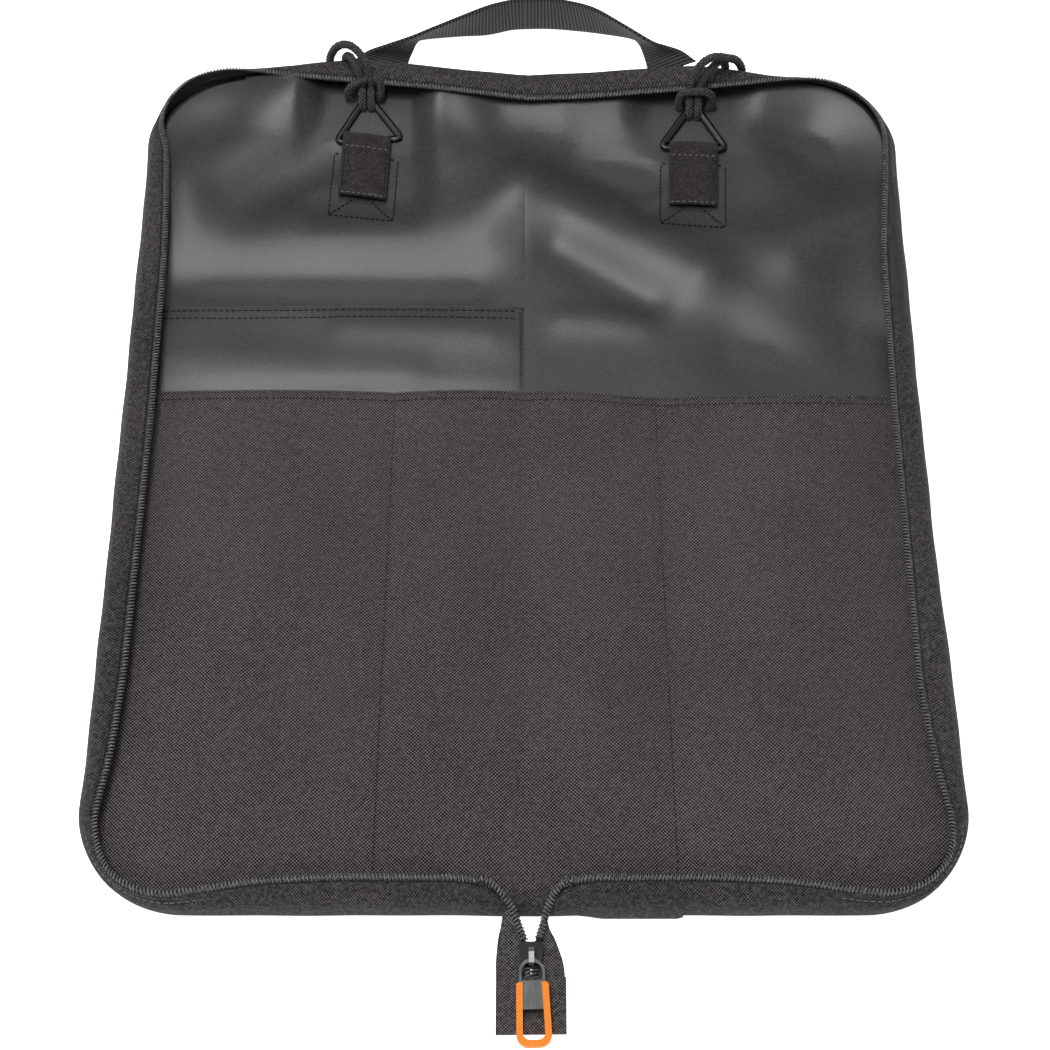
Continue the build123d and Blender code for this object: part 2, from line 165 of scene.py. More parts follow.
def resample(path, step):
    """Points every step mm along a polyline."""
    path = np.asarray(path, float)
    run = run_along(path)
    count = max(2, int(round(run[-1] / step)) + 1)
    at = np.linspace(0, run[-1], count)
    return points_at(at, run, path), at


def grid_uvs(u, v):
    """The uvs of a grid of points, in metres, from its places in mm."""
    return np.stack(np.broadcast_arrays(u * MM, v * MM), axis=-1)


def transport(path):
    """Two side directions along a path, turning as little as possible."""
    tangent = unit(np.gradient(path, axis=0))
    side = np.cross(tangent[0], (0, 0, 1.0))
    if np.linalg.norm(side) < 0.1:
        side = np.cross(tangent[0], (0, 1.0, 0))
    side = unit(side)
    sides = [side]
    for i in range(1, len(path)):
        side = side - tangent[i] * np.dot(side, tangent[i])
        side = side / max(np.linalg.norm(side), 1e-9)
        sides.append(side)
    sides = np.array(sides)
    return sides, np.cross(tangent, sides)


def tube_points(path, radius, count, flat=1.0):
    """Rings of points round a path, closed with a point at each end, and their faces."""
    side, over = transport(path)
    angle = np.arange(count) * 2 * math.pi / count
    radius = np.broadcast_to(np.asarray(radius, float), (len(path),))
    ring = (
        path[:, None]
        + side[:, None] * (np.cos(angle)[None, :, None] * radius[:, None, None])
        + over[:, None] * (np.sin(angle)[None, :, None] * radius[:, None, None] * flat)
    )
    points = np.concatenate([ring.reshape(-1, 3), path[:1], path[-1:]])
    faces = []
    rows = len(path)
    for i in range(rows - 1):
        for j in range(count):
            k = (j + 1) % count
            faces.append((i * count + j, i * count + k, (i + 1) * count + k, (i + 1) * count + j))
    first, last = rows * count, rows * count + 1
    for j in range(count):
        k = (j + 1) % count
        faces.append((first, k, j))
        faces.append((last, (rows - 1) * count + j, (rows - 1) * count + k))
    return points, faces


def join_parts(name, parts, material):
    """One mesh from several (points, faces) parts; a part may carry the number of its material."""
    points, faces, numbers, shift = [], [], [], 0
    for part_points, part_faces, *number in parts:
        points.append(part_points)
        faces += [tuple(i + shift for i in face) for face in part_faces]
        numbers += [number[0] if number else 0] * len(part_faces)
        shift += len(part_points)
    points = np.concatenate(points)
    obj = new_mesh(name, points, faces, points[:, :2] * MM)
    for one in material if isinstance(material, tuple) else (material,):
        obj.data.materials.append(one)
    obj.data.polygons.foreach_set("material_index", numbers)
    return obj


def carried_on(points):
    """The points with one more at each end, in a straight line with the last two."""
    return np.concatenate([[2 * points[0] - points[1]], points, [2 * points[-1] - points[-2]]])


def spline_span(p, i, t):
    """The Catmull-Rom curve from point i + 1 to point i + 2, at the share t of the way."""
    a, b, c, d = p[i:i + 4]
    return 0.5 * (2 * b + (c - a) * t + (2 * a - 5 * b + 4 * c - d) * t**2
                  + (3 * b - a - 3 * c + d) * t**3)


def spline_through(points, per_span=16):
    """A Catmull-Rom curve through a few points."""
    p = carried_on(np.asarray(points, float))
    t = np.linspace(0, 1, per_span, endpoint=False)[:, None]
    out = [spline_span(p, i, t) for i in range(len(p) - 3)]
    out.append(p[-2:-1])
    return np.concatenate(out)


def smooth_path(points, step=1.5):
    """A smooth path through a few points, with points every step mm."""
    return resample(spline_through(points), step)[0]


# ---------------------------------------------------------------- materials
class Nodes:
    """A principled material and a short way to add nodes to it."""

    def __init__(self, name, roughness, specular=0.5, metallic=0.0, sheen=0.0, sheen_tint=None):
        self.material = bpy.data.materials.new(name)
        self.material.use_nodes = True
        self.tree = self.material.node_tree
        self.shader = self.tree.nodes["Principled BSDF"]
        self.shader.inputs["Roughness"].default_value = roughness
        self.shader.inputs["Specular IOR Level"].default_value = specular
        self.shader.inputs["Metallic"].default_value = metallic
        self.shader.inputs["Sheen Weight"].default_value = sheen
        self.shader.inputs["Sheen Roughness"].default_value = 0.45
        if sheen_tint:
            self.shader.inputs["Sheen Tint"].default_value = (*sheen_tint, 1)

    def link(self, output, target):
        self.tree.links.new(output, target)

    def put(self, socket, value):
        if isinstance(value, (int, float)):
            socket.default_value = value
        else:
            self.link(value, socket)

    def math(self, operation, a, b=0.0):
        node = self.tree.nodes.new("ShaderNodeMath")
        node.operation = operation
        self.put(node.inputs[0], a)
        self.put(node.inputs[1], b)
        return node.outputs[0]

    def add(self, a, b):
        return self.math("ADD", a, b)

    def times(self, a, b):
        return self.math("MULTIPLY", a, b)

    def mapped(self, value, low, high, to_low, to_high):
        node = self.tree.nodes.new("ShaderNodeMapRange")
        self.put(node.inputs["Value"], value)
        ends = {"From Min": low, "From Max": high, "To Min": to_low, "To Max": to_high}
        for key, number in ends.items():
            node.inputs[key].default_value = number
        return node.outputs[0]

    def coordinates(self, kind):
        return self.tree.nodes.new("ShaderNodeTexCoord").outputs[kind]

    def split(self, vector):
        node = self.tree.nodes.new("ShaderNodeSeparateXYZ")
        self.link(vector, node.inputs[0])
        return node.outputs

    def noise(self, scale, detail=2.0, roughness=0.5, stretch=None):
        node = self.tree.nodes.new("ShaderNodeTexNoise")
        vector = self.coordinates("Object")
        if stretch:
            mapping = self.tree.nodes.new("ShaderNodeMapping")
            mapping.inputs["Scale"].default_value = stretch
            self.link(vector, mapping.inputs[0])
            vector = mapping.outputs[0]
        self.link(vector, node.inputs["Vector"])
        node.inputs["Scale"].default_value = scale
        node.inputs["Detail"].default_value = detail
        node.inputs["Roughness"].default_value = roughness
        return node.outputs[0]

    def ramp(self, value, stops):
        node = self.tree.nodes.new("ShaderNodeValToRGB")
        while len(node.color_ramp.elements) < len(stops):
            node.color_ramp.elements.new(0.5)
        for element, (place, colour) in zip(node.color_ramp.elements, stops):
            element.position = place
            element.color = (*colour, 1)
        self.put(node.inputs[0], value)
        return node.outputs[0]

    def colour(self, output):
        self.link(output, self.shader.inputs["Base Color"])

    def roughness(self, output):
        self.link(output, self.shader.inputs["Roughness"])

    def bump(self, height, distance_mm, strength=1.0):
        node = self.tree.nodes.new("ShaderNodeBump")
        node.inputs["Strength"].default_value = strength
        node.inputs["Distance"].default_value = distance_mm * MM
        self.link(height, node.inputs["Height"])
        self.link(node.outputs[0], self.shader.inputs["Normal"])


def grey(level, tint=(1.0, 1.0, 1.0)):
    return tuple(level * t for t in tint)


def checks_of(n, pitch):
    """The warp, the weft and their product over a plain weave, from the uv in metres."""
    u, v, _ = n.split(n.coordinates("UV"))
    turn = math.pi / (pitch * MM)
    warp = n.math("COSINE", n.times(u, turn))
    weft = n.math("COSINE", n.times(v, turn))
    return warp, weft, n.times(warp, weft)


def weave_height(n, pitch):
    """Height of a plain weave whose yarns pass over and under each other."""
    warp, weft, over = checks_of(n, pitch)
    lift = n.mapped(over, -0.6, 0.6, 0, 1)
    sink = n.math("SUBTRACT", 1.0, lift)
    warp_rise = n.times(n.math("ABSOLUTE", warp), lift)
    weft_rise = n.times(n.math("ABSOLUTE", weft), sink)
    return n.math("MAXIMUM", warp_rise, weft_rise)


def woven(name, dark, light, pitch, roughness=0.85, bump=0.25, grain=0.7, checks=0.55):
    """Woven cloth: light and dark yarns by turns, with uneven grain over them."""
    n = Nodes(name, roughness, specular=0.2, sheen=0.04, sheen_tint=(0.8, 0.8, 0.85))
    over = checks_of(n, pitch)[2]
    fine = n.noise(GRAIN_SCALE, 2.0, 0.75)
    patch = n.noise(14.0, 3.0)
    mixed = n.add(n.times(over, checks), n.times(n.math("SUBTRACT", fine, 0.5), grain * 2))
    mixed = n.add(mixed, n.times(n.math("SUBTRACT", patch, 0.5), 0.35))
    level = n.mapped(mixed, -0.8, 0.8, 0, 1)
    middle = tuple(0.30 * a + 0.70 * b for a, b in zip(light, dark))
    n.colour(n.ramp(level, [(0.1, dark), (0.5, middle), (0.9, light)]))
    n.bump(n.add(over, fine), bump)
    return n.material


def coated(name, dark, light, roughness=0.385):
    """The smooth coated lining: fine cloth grain under a soft gloss."""
    n = Nodes(name, roughness, specular=0.55, sheen=0.0)
    height = weave_height(n, 0.55)
    patch = n.noise(9.0, 4.0)
    fine = n.noise(GRAIN_SCALE, 3.0, 0.7)
    mixed = n.add(n.times(patch, 0.3), n.times(fine, 0.7))
    n.colour(n.ramp(mixed, [(0.3, dark), (0.7, light)]))
    n.roughness(n.mapped(n.add(patch, n.times(fine, 0.5)), 0.4, 1.1,
                         roughness - 0.05, roughness + 0.07))
    n.bump(n.add(n.times(height, 0.3), fine), 0.12, 0.6)
    return n.material


def ribbed(name, dark, light, pitch):
    """Webbing with ribs across its length: u runs along it, v across."""
    n = Nodes(name, 0.72, specular=0.2, sheen=0.02)
    u, v, _ = n.split(n.coordinates("UV"))
    wave = n.math("SINE", n.times(u, 2 * math.pi / (pitch * MM)))
    cross = n.math("SINE", n.times(v, 2 * math.pi / (0.9 * MM)))
    fine = n.noise(1100.0, 2.0, 0.7)
    height = n.add(n.mapped(wave, -1, 1, 0, 0.8), n.mapped(cross, -1, 1, 0, 0.2))
    mixed = n.add(n.times(height, 0.75), n.times(fine, 0.32))
    n.colour(n.ramp(mixed, [(0.15, dark), (0.95, light)]))
    n.bump(n.add(height, n.times(fine, 0.3)), 0.35)
    return n.material


def threads(name, dark, light, roughness=0.6, scale=700.0, bump=0.12):
    """Cord strands and sewing thread."""
    n = Nodes(name, roughness, specular=0.3, sheen=0.02)
    fine = n.noise(scale, 3.0, 0.65)
    n.colour(n.ramp(fine, [(0.3, dark), (0.75, light)]))
    n.bump(fine, bump)
    return n.material


def nylon(name, dark, light, roughness=0.33):
    """The zip's moulded coil."""
    n = Nodes(name, roughness, specular=0.6)
    fine = n.noise(500.0, 2.0)
    n.colour(n.ramp(fine, [(0.3, dark), (0.8, light)]))
    n.roughness(n.mapped(fine, 0.2, 0.8, roughness - 0.06, roughness + 0.1))
    return n.material


def plated(name, base, roughness):
    """Dark plated metal with faint handling marks."""
    n = Nodes(name, roughness, metallic=1.0)
    wear = n.noise(260.0, 4.0, 0.6)
    scratch = n.noise(900.0, 2.0, 0.6, stretch=(1, 0.15, 1))
    n.colour(n.ramp(wear, [(0.25, grey(base * 0.8, (1, 0.99, 0.97))), (0.75, grey(base * 1.25))]))
    n.roughness(n.mapped(n.add(wear, scratch), 0.6, 1.4, roughness - 0.05, roughness + 0.12))
    n.bump(scratch, 0.01, 0.4)
    return n.material


def rubber(name, dark, light):
    n = Nodes(name, 0.5, specular=0.22)
    fine = n.noise(600.0, 3.0, 0.6)
    broad = n.noise(60.0, 2.0)
    n.colour(n.ramp(n.add(n.times(fine, 0.5), n.times(broad, 0.5)),
                    [(0.3, dark), (0.7, light)]))
    n.roughness(n.mapped(fine, 0.2, 0.8, 0.45, 0.6))
    n.bump(fine, 0.015, 0.5)
    return n.material


SHELL = woven("shell_cloth", (0.004, 0.004, 0.004), (0.14, 0.135, 0.13), WEAVE_PITCH)
POCKET = woven("pocket_cloth", (0.0003, 0.0002, 0.0003), (0.172, 0.153, 0.159), 0.84, checks=1.0)
GUSSET = woven("gusset_cloth", (0.001, 0.0009, 0.0008), (0.125, 0.117, 0.111), 0.74, grain=1.1, checks=0.6)
LINING = coated("lining_cloth", (0.0120, 0.0123, 0.0131), (0.0420, 0.0430, 0.0452))
FOAM = threads("foam", (0.30, 0.30, 0.30), (0.42, 0.42, 0.42), 0.95, 400.0, 0.4)
TAPE = woven("zip_tape", (0.002, 0.002, 0.002), (0.075, 0.072, 0.070), 0.7, grain=0.8)
TAIL = woven("tail_tape", (0.001, 0.001, 0.001), (0.195, 0.182, 0.180), 0.72, grain=1.0, checks=0.8)
TAB = woven("tab_cloth", (0.0010, 0.0008, 0.0008), (0.075, 0.066, 0.064), 0.74, grain=1.2, checks=0.8)
WEBBING = ribbed("webbing", (0.0008, 0.0008, 0.0008), (0.090, 0.087, 0.084), RIB_PITCH)
COIL = nylon("zip_coil", (0.045, 0.045, 0.044), (0.200, 0.197, 0.190))
CORD = threads("cord", (0.003, 0.003, 0.003), (0.105, 0.106, 0.099), scale=1100.0)
CORD_CORE = threads("cord_core", (0.0005, 0.0005, 0.0005), (0.002, 0.002, 0.002))
THREAD = threads("thread", (0.090, 0.085, 0.080), (0.200, 0.190, 0.180), 0.55, 1200.0)
DARK_THREAD = threads("dark_thread", (0.001, 0.001, 0.001), (0.005, 0.005, 0.005), 0.6, 1200.0)
METAL = plated("dark_metal", 0.042, 0.34)
BLACK = plated("black_metal", 0.014, 0.40)
BRIGHT = plated("bright_metal", 0.13, 0.34)
ORANGE = rubber("orange_rubber", (0.82, 0.195, 0.006), (0.94, 0.265, 0.014))


# ---------------------------------------------------------------- riding with the bodies
def wears(obj, slot_name, *nodes):
    """Hides the named nodes that the object stands for; the slot's name is not used."""
    if nodes:
        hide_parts(*nodes)


def belongs(obj, body, slot_name, *nodes):
    """Rides with one body."""
    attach(obj, body)
    wears(obj, slot_name, *nodes)


def with_spine(side, node, *spine_nodes):
    """A half's node, and on the left the spine's nodes of the same layer."""
    return [side + node] + (list(spine_nodes) if side == "left" else [])


def on_half(obj, side, slot_name, *nodes):
    """Rides with its half when it keeps clear of the spine; a piece that reaches the spine only has its
    transform baked in.
    """
    bpy.context.view_layer.update()
    across = np.empty(len(obj.data.vertices) * 3)
    obj.data.vertices.foreach_get("co", across)
    nearest = np.abs(across[::3]).min() / MM
    if nearest >= HINGE_FAR:
        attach(obj, side + "_half")
    else:
        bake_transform(obj)
    wears(obj, slot_name, *nodes)
    return obj


# ---------------------------------------------------------------- the bag's outline and rim
def side_pull(side, y):
    """How far the bag's side lies inside its flat outline."""
    if side == "left":
        return 1.0 + 0 * np.asarray(y, float)
    return 1.6 + 2.9 * smooth_step(np.asarray(y, float), -150.0, -40.0)


def half_width(side, y, inset=0.0):
    """Half the bag's width at a place along it, as its rounded outline gives it."""
    y = np.asarray(y, float)
    radius = CORNER - inset
    over = np.clip(np.abs(y) - (HALF_Y - CORNER), 0, radius)
    return HALF_X - CORNER + np.sqrt(radius * radius - over * over) - side_pull(side, y)


def corner_place(angle, middle_y):
    """Point and outward normal on a rounded corner whose centre lies at middle_y."""
    c, s = math.cos(angle), math.sin(angle)
    return HALF_X - CORNER + CORNER * c, middle_y + CORNER * s, c, s


def outline(along):
    """Point and outward normal on the right half's outline, along mm from the top centre."""
    top = HALF_X - CORNER
    arc = math.pi / 2 * CORNER
    straight = 2 * (HALF_Y - CORNER)
    along = np.atleast_1d(np.asarray(along, float))
    out = np.zeros((len(along), 4))
    for i, s in enumerate(along):
        if s < top:
            out[i] = (s, HALF_Y, 0, 1)
        elif s < top + arc:
            out[i] = corner_place(math.pi / 2 - (s - top) / CORNER, HALF_Y - CORNER)
        elif s < top + arc + straight:
            out[i] = (HALF_X, HALF_Y - CORNER - (s - top - arc), 1, 0)
        elif s < top + 2 * arc + straight:
            out[i] = corner_place(-(s - top - arc - straight) / CORNER, CORNER - HALF_Y)
        else:
            out[i] = (top - (s - top - 2 * arc - straight), -HALF_Y, 0, -1)
    return out


# Round the rim from the top centre to the bottom centre: how far along, then the inset and height
# of the gusset's outer crest, then the inset and height of the zip's coil.
RIM = {
    "left": [
        (0, 2.8, 16, 17, 15), (25, -0.6, 16, 13.5, 16), (60, -4.2, 17.5, 10, 17.5),
        (84, -6.8, 18.6, 7.6, 17.8), (110, -5, 18.4, 4.8, 17.8), (140, -2.6, 16, 1.4, 18),
        (160, -1, 13.6, -0.6, 18), (180, -1.6, 13.4, -1.4, 18), (195, -0.4, 13.6, 0.8, 18),
        (212, 1.2, 15, 5, 18), (232, 3.2, 17.6, 10.8, 18), (262, 4.2, 18.4, 13, 18),
        (300, 4.4, 18, 15, 17.5), (400, 4.6, 16.6, 15.8, 16), (540, 4.2, 15.6, 14.6, 15),
        (580, 3.6, 15.2, 12, 15), (602, 2.6, 14.6, 8.4, 14.5), (622, 1.6, 13, 5.6, 14),
        (642, 1, 10.5, 3, 14), (662, 1.2, 11, 3.8, 14), (686, 2, 13, 6.3, 14.5),
        (712, 3, 15, 10, 15), (745, 3.4, 15.2, 11.7, 15), (800, 3.4, 14.4, 11.6, 15.2),
        (814, 3.2, 9.5, 10.5, 9), (829, 2.8, 5.6, 9, 5),
    ],
    "right": [
        (0, 2.8, 16, 17, 15), (31, 0.8, 16, 16.3, 15.5), (60, -0.8, 17.5, 14, 16.5),
        (90, -2.6, 18.6, 12, 17.5), (117, 0.4, 17.6, 8.8, 18), (140, 3.4, 15, 6.6, 18),
        (160, 4.4, 13.6, 6.4, 18), (180, 5, 13.4, 7.6, 18), (205, 5.6, 13.6, 9.2, 18),
        (228, 6, 15, 10.2, 18), (248, 6.6, 16.6, 11.2, 18), (272, 7.4, 18, 13.2, 18),
        (300, 7.8, 18, 15.8, 17.5), (400, 8, 16.6, 17.6, 16), (545, 6.2, 15.6, 17.8, 15),
        (570, 5.4, 15.4, 15.4, 15), (594, 4.6, 15, 12.2, 14.5), (612, 3.8, 13.8, 8.4, 14),
        (628, 2.6, 12, 4.9, 14), (645, 2.4, 10.4, 3.3, 14), (662, 2.4, 11, 4.6, 14),
        (686, 2.4, 13, 6.6, 14.5), (712, 3, 15, 10, 15), (745, 3.4, 15.2, 11.7, 15),
        (800, 3.4, 14.4, 11.6, 15.2), (814, 3.2, 9.5, 10.5, 9), (829, 2.8, 5.6, 9, 5),
    ],
}
SMOOTH_REACH = 14
PUCKER_DEPTH = 0.28


def rim_values(side, along):
    """The rim's crest and coil at places along it, eased between the chosen stations."""
    table = np.array(RIM[side], float)
    fine = np.arange(-40.0, RIM_LENGTH + 40.0)
    window = np.hanning(2 * SMOOTH_REACH + 1)
    window /= window.sum()
    out = []
    for column in range(1, 5):
        # the run is mirrored past the top centre so that both halves meet level
        values = np.interp(np.abs(fine), table[:, 0], table[:, column])
        values = np.convolve(values, window, mode="same")
        out.append(np.interp(along, fine, values))
    return out


def rim_place(side, along, inset, height):
    """Points on the left or right rim at an inset from the outline and a height."""
    place = outline(along)
    x = (place[:, 0] - place[:, 2] * inset) * SIDES[side]
    y = place[:, 1] - place[:, 3] * inset
    return np.stack([x, y, np.broadcast_to(height, x.shape)], axis=1)


def gusset_section(side, along):
    """The gusset's cross-section at each place along the rim, from the base to the zip's coil."""
    crest_in, crest_z, coil_in, coil_z = rim_values(side, along)
    place = outline(along)
    edge = side_pull(side, place[:, 1]) * np.abs(place[:, 2])
    lean_in = coil_in - crest_in
    lean_z = coil_z - crest_z
    reach = np.maximum(np.hypot(lean_in, lean_z), 1e-6)
    tape_in, tape_z = lean_in / reach, lean_z / reach
    knots = np.array([
        (edge + 3.0, 0.9 + 0 * edge),
        (edge + 0.2, 1.3 + 0 * edge),
        (edge - 0.3, 0.34 * crest_z),
        (0.4 * edge + 0.6 * crest_in - 1.3, 0.74 * crest_z),
        (crest_in + 0.2, crest_z),
        (crest_in + 0.45 * lean_in - tape_z * 0.9, crest_z + 0.45 * lean_z + tape_in * 0.9),
        (coil_in - 2.5 * tape_in, coil_z - 2.5 * tape_z),
    ])
    p = carried_on(knots)
    rows = []
    for value in np.linspace(0, len(knots) - 1, 25):
        i = min(int(value), len(knots) - 2)
        rows.append(spline_span(p, i, value - i))
    return np.array(rows), (coil_in, coil_z, tape_in, tape_z)


def gusset_wall(side):
    """The woven wall that stands round the half and turns in to the zip."""
    along = np.linspace(-0.8, RIM_LENGTH + 0.8, 302)
    section, _ = gusset_section(side, along)
    points = np.stack([rim_place(side, along, row[0], row[1]) for row in section])
    # soft puckers run down the wall where the zip is sewn to it
    rows = len(points)
    share = np.linspace(0, 1, rows)[:, None]
    waves = np.sin(along / 9.5) * np.sin(along / 23.0 + 1.0)
    pucker = PUCKER_DEPTH * waves[None] * np.sin(share * math.pi)
    place = outline(along)
    points[:, :, 0] += SIDES[side] * place[None, :, 2] * pucker
    points[:, :, 1] += place[None, :, 3] * pucker
    steps = np.linalg.norm(np.diff(points, axis=0), axis=2)
    depth = np.concatenate([np.zeros((1, len(along))), np.cumsum(steps, axis=0)]).mean(axis=1)
    uvs = grid_uvs(along[None], depth[:, None])
    obj = cloth(side + "_gusset_wall", points, uvs, 0.9, GUSSET, flip=(side == "left"))
    nodes = with_spine(side, "_gusset", "spine_top_gusset", "spine_bottom_gusset")
    on_half(obj, side, "gusset_cloth", *nodes)


def square_frames(centre, across, rough_up):
    """Side and up directions square to a path, from rough ones."""
    tangent = unit(np.gradient(centre, axis=0))
    across = unit(across - tangent * np.sum(across * tangent, axis=1, keepdims=True))
    up = np.cross(tangent, across)
    up *= np.where(np.sum(up * rough_up, axis=1, keepdims=True) < 0, -1.0, 1.0)
    return across, up


def rim_frames(side, along):
    """Centre of the coil, direction across it towards the opening, and up off the tape."""
    _, (coil_in, coil_z, tape_in, tape_z) = gusset_section(side, along)
    place = outline(along)
    centre = rim_place(side, along, coil_in, coil_z)
    upright = np.array([0, 0, 1.0])
    inward = np.stack([-place[:, 2] * SIDES[side], -place[:, 3], 0 * along], axis=1)
    across = unit(inward * tape_in[:, None] + upright * tape_z[:, None])
    off_tape = upright * tape_in[:, None] - inward * tape_z[:, None]
    across, up = square_frames(centre, across, off_tape)
    return centre, across, up


# The coil's turns: how far they reach across, how far they rise, their middle, their wire.
TAPE_WIDTH = 5.2
COIL_REACH = 1.45
COIL_RISE = 0.62
COIL_MIDDLE = 0.95
COIL_WIRE = 0.43


def zip_run(side, centre, across, up, name, tape_out, tape_in=1.2):
    """A zip half: its tape and the coil sewn along it."""
    tape_out = np.broadcast_to(np.asarray(tape_out, float), (len(centre),))
    shares = np.linspace(0, 1, 7)
    widths = [(-tape_out + (tape_in + tape_out) * share)[:, None] for share in shares]
    points = np.stack([centre + across * width + up * 0.05 for width in widths])
    spans = np.linspace(-TAPE_WIDTH, tape_in, 7)
    run = run_along(centre)
    uvs = grid_uvs(run[None], spans[:, None])
    tape = cloth(name + "_tape", points, uvs, 0.5, TAPE, flip=(side == "left"))
    steps = 9
    turns = int(run[-1] / TOOTH_PITCH)
    at = np.linspace(0, turns * TOOTH_PITCH, turns * steps)
    angle = at / TOOTH_PITCH * 2 * math.pi
    base = points_at(at, run, centre)
    a = points_at(at, run, across)
    u = points_at(at, run, up)
    helix = base + a * (COIL_REACH * np.cos(angle)[:, None])
    helix = helix + u * (COIL_MIDDLE + COIL_RISE * np.sin(angle)[:, None])
    coil = join_parts(name + "_coil", [tube_points(helix, COIL_WIRE, 5)], COIL)
    return tape, coil


def seam_thread(name, path, up, material=THREAD, **sizes):
    """A row of stitches lying on cloth along a path, as one mesh."""
    return join_parts(name, stitch_parts(path, up, **sizes), material)


def stitch_parts(path, up, pitch=3.1, length=2.3, radius=0.24, sink=0.05):
    """The stitches of a row: short threads that come up out of the cloth and go back in."""
    path = np.asarray(path, float)
    run = run_along(path)
    count = max(1, int(run[-1] / pitch))
    up = np.broadcast_to(np.asarray(up, float), path.shape)
    shares = np.array([0.0, 0.12, 0.5, 0.88, 1.0])
    sizes = np.array([0.25, 0.8, 1.0, 0.8, 0.25]) * radius
    rises = np.array([-0.5, 0.1, 0.45, 0.1, -0.5]) * radius
    parts = []
    for k in range(count):
        at = (k + 0.2) * pitch + random.uniform(-0.12, 0.12) + shares * length
        points = points_at(at, run, path)
        lift = points_at(at, run, up)
        points = points + lift * (rises[:, None] + radius * 0.6 - sink)
        parts.append(tube_points(points, sizes, 6))
    return parts


def rim_zip(side):
    """The zip round the half, down to the slider in one run, and the seam that holds it."""
    along = np.arange(0, RIM_END + 0.1, 2.0)
    rim, rim_across, rim_up = rim_frames(side, along)
    lead = spline_through([rim[-6], rim[-1]] + list(ZIP_LEAD[side][1:]), 24)
    lead = resample(lead[24:], 1.0)[0][1:]
    share = np.linspace(0, 1, len(lead))[:, None]
    # over its last part the coil turns to face the other half
    turn = smooth_step(share, 0.0, 0.8)
    facing = np.array([-SIDES[side], -0.1, 0.0])
    centre = np.concatenate([rim, lead])
    across = np.concatenate([rim_across, unit(rim_across[-1] * (1 - turn) + facing * turn)])
    rough_up = np.concatenate([rim_up, np.repeat(rim_up[-1:], len(lead), 0)])
    across, up = square_frames(centre, across, rough_up)
    # the tape narrows as it leaves the rim, where the tail's cloth takes over
    left_rim = smooth_step(np.arange(len(centre)), len(rim) - 14.0, len(rim) + 6.0)
    tape, coil = zip_run(side, centre, across, up, side + "_zip", TAPE_WIDTH - 3.6 * left_rim)
    on_half(tape, side, "zip_tape", side + "_zip_tape", *with_spine(side, "_zip_lead", "spine_top_zip"))
    on_half(coil, side, "zip_coil", side + "_zip_coil")
    seam_path = (rim - rim_across * 4.4 + rim_up * 0.75)[: int(0.985 * len(rim))]
    seam = seam_thread(side + "_rim_stitches", seam_path, rim_up[: len(seam_path)],
                       pitch=3.2, length=2.4, radius=0.3)
    on_half(seam, side, "gusset_cloth")


ZIP_LEAD = {
    "left": [(-22.9, -223.4, 15.2), (-19, -223.8, 15), (-14.2, -226, 13.4), (-9.4, -230, 11.6),
             (-5.4, -235.4, 8.8), (-2.8, -241.6, 6), (-0.2, -248, 3.6)],
    "right": [(22.9, -223.4, 15.2), (19.4, -224, 15), (15.8, -226.4, 13.6), (12.6, -230, 11.2),
              (9.8, -235.4, 8.4), (7.8, -241.6, 5.8), (5.6, -248, 3.6)],
}


# ---------------------------------------------------------------- the layers inside
def panel_rows(low, high, step=3.5):
    """Places along Y for a panel's rows, closer together round its corners."""
    rows = list(np.arange(low, high, step)) + [high]
    turns = np.linspace(0, math.pi / 2, 15)
    ends = [s * (HALF_Y - CORNER + CORNER * math.sin(t)) for s in (-1, 1) for t in turns]
    rows = sorted(set(round(float(y), 2) for y in rows + [y for y in ends if low < y < high]))
    return np.array(rows)


def panel_grid(side, rows, inset, columns=58, inner=0.0, crisp=False):
    """X and Y over half a panel, from the middle of the spine to the outline."""
    width = half_width(side, rows, inset)
    share = np.linspace(0, 1, columns)
    if crisp:
        share = np.insert(share, 1, 0.002)
    x = SIDES[side] * (inner + (width[:, None] - inner) * share[None])
    y = np.broadcast_to(rows[:, None], x.shape)
    return x, y


def panel(side, name, rows, inset, height, thickness, material, columns=58, inner=0.0):
    """A cloth panel over one half, its height given by a function of x and y."""
    x, y = panel_grid(side, rows, inset, columns, inner)
    scale = (HALF_Y - inset) / HALF_Y
    y = y * scale
    # past the middle the cloth dips under the other half's, so that the two meet without an edge
    past = np.maximum(0.0, -SIDES[side] * x)
    points = np.stack([x, y, height(x, y) - UNDERLAP_SLOPE * past], axis=-1)
    uvs = grid_uvs(x, y)
    return cloth(name, points, uvs, thickness, material, flip=(side == "left"))


def ridge(x, y, x0, y0, x1, y1, width, height):
    """A soft fold along a line, fading at its ends."""
    dx, dy = x1 - x0, y1 - y0
    t = np.clip(((x - x0) * dx + (y - y0) * dy) / (dx * dx + dy * dy), 0, 1)
    off = np.hypot(x - x0 - t * dx, y - y0 - t * dy)
    return height * np.exp(-((off / width) ** 2))


# Soft folds of the lining: from and to (x, y), how wide, how high.
FOLDS = [
    (-178, 168, -112, 230, 24, 4.6), (-150, 152, -100, 186, 18, -1.6), (-62, 212, -12, 172, 30, 4.2),
    (-172, 140, -24, 140, 22, 2.6), (-178, 104, -30, 102, 15, -1.6), (-44, 212, -32, 192, 10, -0.9),
    (-14, 220, -8, 186, 12, -1.0), (24, 210, 90, 206, 20, 1.8), (28, 180, 60, 170, 18, -2.0),
    (4, 160, 88, 112, 20, 3.8), (18, 126, 62, 92, 12, -1.8), (22, 82, 58, 80, 10, 1.2),
    (150, 200, 184, 165, 22, -1.6), (138, 122, 186, 150, 26, 4.4), (112, 62, 182, 70, 20, -1.6),
    (102, 104, 148, 66, 16, 1.2), (76, 140, 122, 176, 25, 1.2),
]


